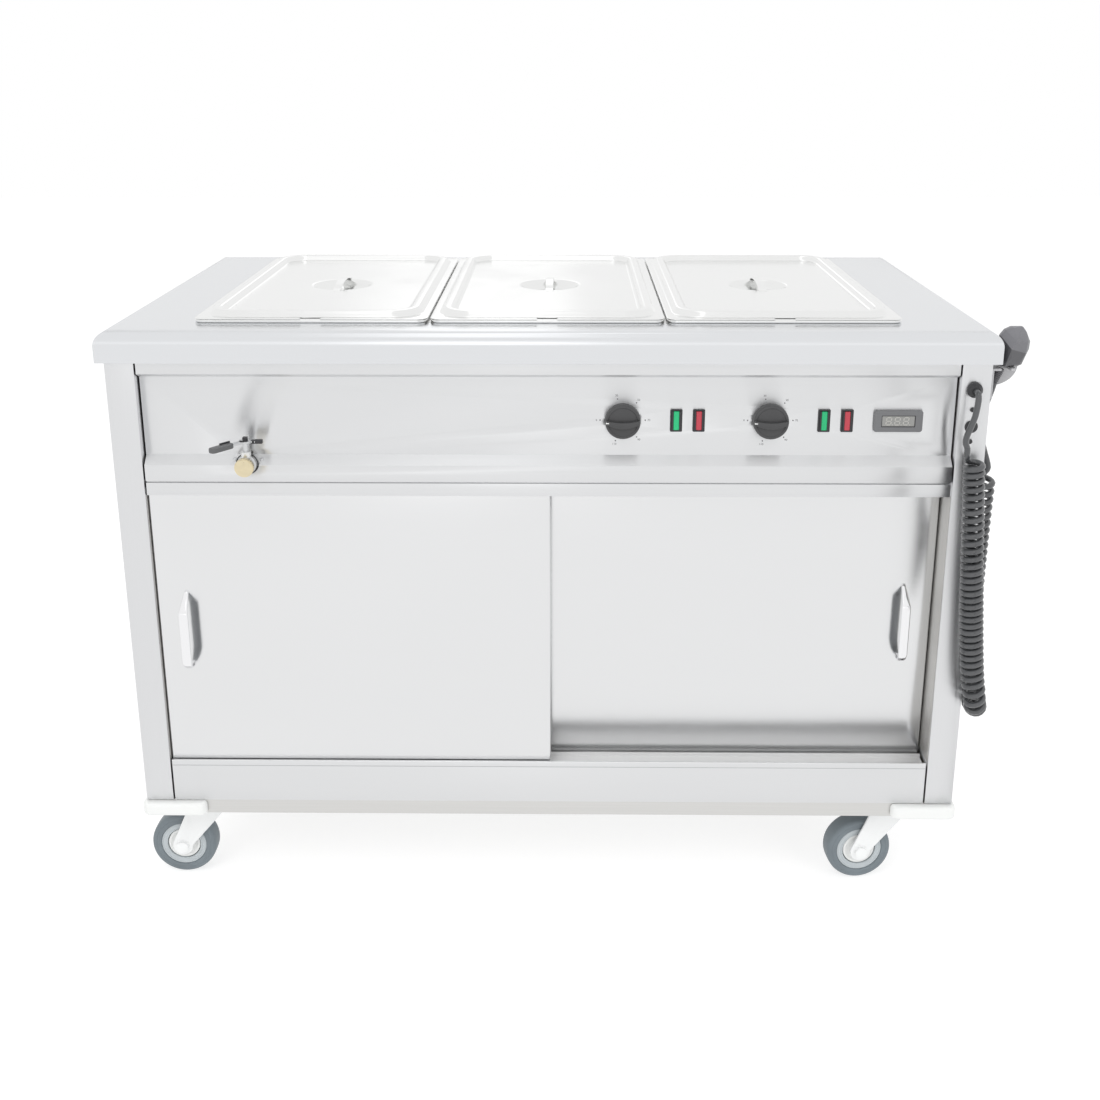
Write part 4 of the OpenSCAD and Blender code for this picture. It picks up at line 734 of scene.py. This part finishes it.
def strap():
    """The grip: a strip bowed over the dish, with a flat foot at each end."""
    half, foot, rise, t, w = 46, 9, 6.4, 1.5, 6
    bow = [(half * s, 0.3 + rise * (1 - abs(s) ** 2.2)) for s in (k / 10 - 1 for k in range(1, 20))]
    line = [(-half - foot, 0), (-half - 1, 0.1), *bow, (half + 1, 0.1), (half + foot, 0)]
    section = ((w, 0.3), (w, t - 0.4), (w - 0.5, t), (0.5 - w, t), (-w, t - 0.4), (-w, 0.3), (0.5 - w, 0),
               (w - 0.5, 0))
    rings = []
    for i, (y, z) in enumerate(line):
        (ya, za), (yb, zb) = line[max(i - 1, 0)], line[min(i + 1, len(line) - 1)]
        n = Vector((0, za - zb, yb - ya)).normalized()
        rings.append([Vector((0, y, z)) + Vector((x, 0, 0)) + n * up for x, up in section])
    return loft(rings)


def cut(obj, mesh):
    """Takes a mesh away from a piece."""
    cutter = piece("cutter", mesh, "pan_steel")
    boolean = obj.modifiers.new("cut", "BOOLEAN")
    boolean.operation = "DIFFERENCE"
    boolean.solver = "EXACT"
    boolean.object = cutter
    bpy.context.view_layer.update()
    whole = bpy.data.meshes.new_from_object(obj.evaluated_get(bpy.context.evaluated_depsgraph_get()))
    obj.modifiers.remove(boolean)
    bpy.data.objects.remove(cutter)
    obj.data = whole
    whole.shade_smooth()
    whole.set_sharp_from_angle(angle=math.radians(SHARP))


for i in (1, 2, 3):
    flange = Matrix.Translation(((i - 2) * PITCH, 0, FLANGE_Z))
    panel = Matrix.Translation(((i - 2) * PITCH, 0, FLANGE_Z + SHEET))
    piece(f"pan_shell_{i}", moved(loft(inset_rings(PAN)), flange), "pan_steel", f"pan_{i}",
          [f"pan_{i}"])
    top = [round_ring(2 * r, 2 * r, r, z) for r, z in DISH] + inset_rings(RIDGE)
    under = [[(px, py, pz - SHEET) for px, py, pz in ring] for ring in reversed(top[:-2])]
    edge = round_ring(PAN_W, PAN_L, LID_CORNER, -SHEET)
    lid = piece(f"lid_shell_{i}", moved(loft(top + [edge] + under), panel), "pan_steel", f"lid_{i}",
                [f"lid_{i}"])
    notch = slab(-NOTCH_W / 2, NOTCH_W / 2, -PAN_L / 2 - 5, -PAN_L / 2 + NOTCH_L, -6, 12, 0.4, 2)
    cut(lid, moved(notch, panel))
    piece(f"lid_strap_{i}", moved(strap(), panel), "pan_steel", f"lid_{i}")


# Plinth, jambs and ledge

lip = piece("plinth_lip", slab(-RAIL_END, RAIL_END, FRONT - 0.9, FRONT + 0.5, 222, 230, 0.35), "stainless")
# The lip's top and back faces are a pale, matt white: painted light that brightens the groove behind the lip
# and the door's reflection of it
lip.data.materials.append(LOOKS["lip_painted_light"])
for face in lip.data.polygons:
    face.material_index = int(face.normal.y > 0.3 or face.normal.z > 0.6)
# A pale strip on the lip's back: painted light that the door's lower edge mirrors
piece("plinth_lip_painted_light", slab(-RAIL_END, RAIL_END, FRONT + 1.6, FRONT + 2.1, 224, 229.9, 0.1), "lip_painted_light")
# A grey strip just below the lip: a painted shadow line under it
piece("plinth_shadow_line", slab(-RAIL_END, RAIL_END, FRONT - 0.35, FRONT + 0.2, 221, 222.2, 0.1), "shadow_line_grey")
# The jambs are a darker, half-metal steel: painted shade on the posts' inner sides, which the doors mirror as
# a dark band
for side, x in (("left", -559.5), ("right", 559.5)):
    jamb = slab(x - 0.4, x + 0.4, FRONT + 3, -262, 231, 645, 0.1)
    piece(f"{side}_jamb", jamb, "jamb_painted_shade_steel")
slope_side = ((FACE + 0.6, 703.4), (FACE + 0.6, 690), (FRONT - 0.5, 690), (FRONT - 0.5, 690.6),
              (FRONT - 0.2, 691))
piece("ledge_slope", loft([[(x, y, z) for y, z in slope_side] for x in (-RAIL_END, RAIL_END)]), "stainless",
      sharp=20)


# Door handles

# Each half of a bow from its foot to its middle: height, how far it stands out, width
LOW = [(-58, -0.5, 3), (-57.6, 3, 5.5), (-56, 9.5, 8.4), (-52.5, 16, 10.6), (-47.5, 21, 12.2), (-41, 24, 13),
       (-33, 24.6, 13), (-15, 24.7, 13), (0, 24.7, 13)]
HIGH = [(-58, -0.5, 6), (-57, 2.2, 6.2), (-54, 5, 7), (-48, 10.5, 8.8), (-41, 17.5, 11), (-35.5, 22.8, 12.7),
       (-33, 24.2, 13), (-29, 24.6, 13), (-15, 24.7, 13), (0, 24.7, 13)]


def bow_handle(x, y, z):
    """A bow with a flat, softened section, swept from its lower to its upper foot."""
    thickness, steps = 2.3, 24
    low = [Vector((out, rise, w)) for rise, out, w in LOW]
    high = [Vector((out, -rise, w)) for rise, out, w in reversed(HIGH[:-1])]
    middle = smooth_path(low + high, 3)
    rings = []
    for i, (out, rise, w) in enumerate(middle):
        ahead = middle[min(i + 1, len(middle) - 1)] - middle[max(i - 1, 0)]
        along = Vector((0, -ahead[0], ahead[1])).normalized()
        outward = along.cross(Vector((1, 0, 0)))
        if outward.y > 0:
            outward = -outward
        ring = []
        for a in (math.tau * k / steps for k in range(steps)):
            c, s = math.cos(a), math.sin(a)
            ring.append(Vector((x, y - out, z + rise))
                        + Vector((1, 0, 0)) * (w / 2) * math.copysign(abs(c) ** 0.45, c)
                        + outward * thickness * math.copysign(abs(s) ** 0.7, s))
        rings.append(ring)
    return loft(rings)


for side, x, depth, z in (("left", -515, FRONT_DOOR, 441), ("right", 515, REAR_DOOR, 438)):
    bow = piece(f"{side}_bow", bow_handle(x, depth, z), "chrome", f"{side}_door",
                [f"{side}_handle"], 50)
    # The faces towards the door take a dark, dull chrome: a duller back, darkened further as painted shade so
    # that the door mirrors the bow dark
    bow.data.materials.append(LOOKS["dull_chrome_painted_shade"])
    for face in bow.data.polygons:
        face.material_index = int(face.normal.y > 0.3)


# Knobs and their dials

def lettering(words, size, place):
    """Flat letters as a mesh, for numbers on a dial."""
    data = bpy.data.curves.new("numbers", "FONT")
    data.body = words
    data.size = size
    data.extrude = 0.03
    data.align_x = data.align_y = "CENTER"
    data.resolution_u = 2
    holder = placed("numbers", data)
    bpy.context.view_layer.update()
    shape = bpy.data.meshes.new_from_object(holder.evaluated_get(bpy.context.evaluated_depsgraph_get()))
    mesh = [v.co.copy() for v in shape.vertices], [list(f.vertices) for f in shape.polygons]
    bpy.data.objects.remove(holder)
    bpy.data.meshes.remove(shape)
    return moved(mesh, Matrix.Translation(place))


KNOBS = {"well": 104, "cupboard": 306.5}
# Angle of each number on the dial, anticlockwise from the right
DIAL = [(180, "0"), (104, "30"), (53, "50"), (0, "70"), (-51, "90"), (-108, "110")]
DOT_RADIUS, NUMBER_RADIUS, NUMBER_SIZE = 31, 36.0, 4.0
GRIP_HALF = 22.6            # half of the length of the knob's grip
for name, x in KNOBS.items():
    spot = facing(x, FACE, CONTROL_Z)
    marks = []
    for angle, number in DIAL:
        a = math.radians(angle)
        dot = lathe([(0, 0), (0.9, 0), (0.9, 0.08), (0, 0.08)], 16)
        right, high = math.cos(a), math.sin(a)
        marks.append(moved(dot, Matrix.Translation((DOT_RADIUS * right, DOT_RADIUS * high, 0))))
        marks.append(lettering(number, NUMBER_SIZE, (NUMBER_RADIUS * right, NUMBER_RADIUS * high, 0.04)))
    piece(f"{name}_dial_marks", moved(joined(*marks), spot), "ink")
    skirt = lathe([(0, 0.3), (24.3, 0.3), (24.4, 1), (24.1, 10.4), (23.5, 11.6), (22.4, 12.2), (20.6, 12.2),
                   (19.6, 11.4), (0, 11.2)], 80)
    bend = [(t / 10, 1 - (t / 10) ** 2) for t in range(-10, 11)]
    grip = []
    for inset, z in ((0, 10), (0, 15.6), (0.5, 17), (1.6, 17.6)):
        grip.append([((GRIP_HALF - inset) * u, 3.4 - inset - 2.6 * v, z) for u, v in bend]
                    + [((GRIP_HALF - inset) * u, -2.6 + inset - 6.2 * v, z) for u, v in reversed(bend)])
    piece(f"{name}_knob_shell", moved(joined(skirt, loft(grip)), spot), "knob_plastic", f"{name}_knob",
          [f"{name}_knob"])
    pointer = slab(-23.6, -19.2, -0.6, 0.8, 15.2, 17.9, 0.25, 0.3, 3)
    piece(f"{name}_knob_pointer", moved(pointer, spot), "white_plastic", f"{name}_knob")


# Lamps and display

LAMPS = (177.5, 208.5, 380, 411.5)
LENS_X, LENS_Y = 3.8, 13.2              # half width and half height of a lens
for i, x in enumerate(LAMPS):
    spot = facing(x, FACE, CONTROL_Z)
    color = "red" if i % 2 else "green"
    rings = []
    for k in range(13):
        u = k / 6 - 1
        edge = 0.35 if abs(u) == 1 else 0
        depth = 3.75 - 0.45 * u * u - edge
        profile = ((-LENS_Y + edge, -4), (-LENS_Y + edge, depth - 0.5), (-12.6, depth), (12.6, depth),
                   (LENS_Y - edge, depth - 0.5), (LENS_Y - edge, -4))
        rings.append([(LENS_X * u, y, z) for y, z in profile])
    piece(f"{color}_lens_{i + 1}", moved(loft(rings), spot), f"{color}_lens",
          stands_for=["lamp_lenses"])
    strips = [slab(side * 5.05 - 1.1, side * 5.05 + 1.1, -13.6, 13.6, -3, 3.7, 0.3) for side in (-1, 1)]
    piece(f"lamp_edge_{i + 1}", moved(joined(*strips), spot), "black_plastic")

# The seven bars of a figure: across, up, and whether it stands upright
SEGMENTS = ((0, 1, 0), (1, 0.5, 1), (1, -0.5, 1), (0, -1, 0), (-1, -0.5, 1), (-1, 0.5, 1), (0, 0, 0))


def figure(x, w=6.6, h=10.4, t=1.4):
    """One figure of the display with all its bars, and its point."""
    bars = []
    for sx, sy, upright in SEGMENTS:
        length = (h / 2 if upright else w) - t * 0.6
        outline = [(-length / 2, 0), (-length / 2 + t / 2, t / 2), (length / 2 - t / 2, t / 2),
                   (length / 2, 0), (length / 2 - t / 2, -t / 2), (-length / 2 + t / 2, -t / 2)]
        bar = prism(outline, 0, 0.12)
        if upright:
            bar = moved(bar, Matrix.Rotation(math.pi / 2, 4, "Z"))
        bars.append(moved(bar, Matrix.Translation((sx * w / 2, sy * h / 2, 0))))
    slant = Matrix.Identity(4)
    slant[0][1] = 0.10
    dot = lathe([(0, 0), (0.8, 0), (0.8, 0.12), (0, 0.12)], 12)
    bars.append(moved(dot, Matrix.Translation((w / 2 + 2.4, -h / 2, 0))))
    return moved(joined(*bars), Matrix.Translation((x, 0, 0)) @ slant)


def frame_ring(outer, inner, z0, z1, soft=0.6):
    """A flat frame between two rounded rectangles, each (width, height, corner)."""
    w, h, r = outer
    rings = [(w, h, r, z0), (w, h, r, z1 - soft), (w - 0.6 * soft, h - 0.6 * soft, r, z1 - 0.3 * soft),
             (w - 2 * soft, h - 2 * soft, r, z1), (*inner, z1), (*inner, z0)]
    return loft([round_ring(*ring, steps=5) for ring in rings], closed=True)


DISPLAY_X = 481
display = facing(DISPLAY_X, FACE, CONTROL_Z)
piece("display_frame", moved(frame_ring((66.4, 30.6, 3.6), (46.4, 16.6, 1), -1, 4), display),
      "bezel_plastic", stands_for=["display_bezel"])
# A thin black ring inside the frame's opening: painted shade on the opening's inner edge
piece("display_painted_shade_edge", moved(frame_ring((46.6, 16.8, 1), (44.6, 14.6, 0.8), 0, 3.6, 0.2), display),
      "black_plastic")
figures = joined(*(figure(x) for x in (-13.0, -1.2, 10.6)))
piece("display_figures", moved(figures, facing(DISPLAY_X, FACE - 3, CONTROL_Z)), "digits")


# Drain

DRAIN_X, DRAIN_Z, VALVE_Y = -414, 693, FRONT - 4
LEVER_Z, LEVER_TURN = 725, 231
lever = Matrix.Translation((DRAIN_X, VALVE_Y, LEVER_Z))
arm = lever @ Matrix.Rotation(math.radians(LEVER_TURN), 4, "Z")
lever_parts = {
    "lever_plate": ("zinc", (lathe([(0, 0), (8.6, 0), (9, 0.4), (9, 2.1), (8.6, 2.5), (0, 2.5)]), lever),
                    (slab(4, 25, -5, 5, 0, 2.5, 0.3), arm), (slab(3, 14, -3, 3, 0.1, 2.4, 0.3), lever),
                    (lathe([(0, -20), (3.5, -20), (3.5, 0.5), (0, 0.5)], 32), lever)),
    "lever_sleeve": ("sleeve", (slab(21, 58, -6.5, 6.5, -2, 4.5, 1.3, 6.4, 7), arm)),
    "lever_edge": ("black_plastic", (slab(21.5, 38, -6.6, -4.2, 4.1, 6.2, 0.3), arm)),
    "lever_tip": ("black_plastic", (slab(13, 24, -3, 3, -1.5, 4, 0.7, 1.5), lever),
                  (slab(8.5, 14.5, -3, 3, -1.5, 3.4, 0.6, 1.5), lever)),
    "lever_nut": ("black_plastic", (lathe([(0, 2.5), (3.9, 2.5), (3.9, 6.2), (0, 6.2)], 6), lever),
                  (slab(-3.2, 3.2, -3.2, 3.2, 6, 7.5, 0.3), lever)),
}
for name, (look, *parts) in lever_parts.items():
    piece(name, joined(*(moved(*part) for part in parts)), look, "drain_lever",
          ["drain_lever"] if name == "lever_plate" else ())

# The valve's ribbed collar: its profile, with every second point of the outer rings drawn in
RIBS, RIB_DEPTH = 40, 0.45
collar = []
for radius, z in ((10.0, 0), (11.7, 0), (12.3, 0.5), (12.3, 6.5), (11.7, 7), (10.0, 7)):
    ribbed = [radius - (RIB_DEPTH if radius > 12 and k % 2 else 0) for k in range(2 * RIBS)]
    collar.append([(r * math.cos(math.pi * k / RIBS), r * math.sin(math.pi * k / RIBS), z)
                   for k, r in enumerate(ribbed)])
piece("valve_collar", moved(loft(collar, capped=False, closed=True), facing(DRAIN_X, FRONT - 5.5, DRAIN_Z)),
      "zinc", sharp=20)
seal = lathe([(13.9, 0), (15.3, 0), (15.5, 0.4), (15.3, 0.9), (13.9, 0.9)])
piece("valve_seal", moved(seal, facing(DRAIN_X, FRONT - 0.6, DRAIN_Z)), "black_plastic")
slope = Matrix.Rotation(math.radians(46), 4, "X")
for i, x in enumerate((-432.5, -395.5)):
    head = lathe([(0, 0), (2.9, 0), (2.9, 0.5), (2.3, 1.1), (1.2, 1.45), (0, 1.5)], 32)
    place = Matrix.Translation((x, -311.2, 697.2)) @ slope
    piece(f"slope_screw_{i + 1}", moved(head, place), "zinc")


# Lobe of the plug park

LOBE_X, LOBE_Z, LOBE_WIDTH, LOBE_DROP = 605, 828, 37, 29
quarter = [math.radians(a) for a in range(90, -1, -6)]
lobe = [(LOBE_X, LOBE_Z)] + [(LOBE_X + LOBE_WIDTH * math.sin(a), LOBE_Z - LOBE_DROP * math.cos(a))
                             for a in quarter]
piece("park_lobe", loft([[(x, y, z) for x, z in lobe] for y in (-290.5, -288)]), "park_paint")
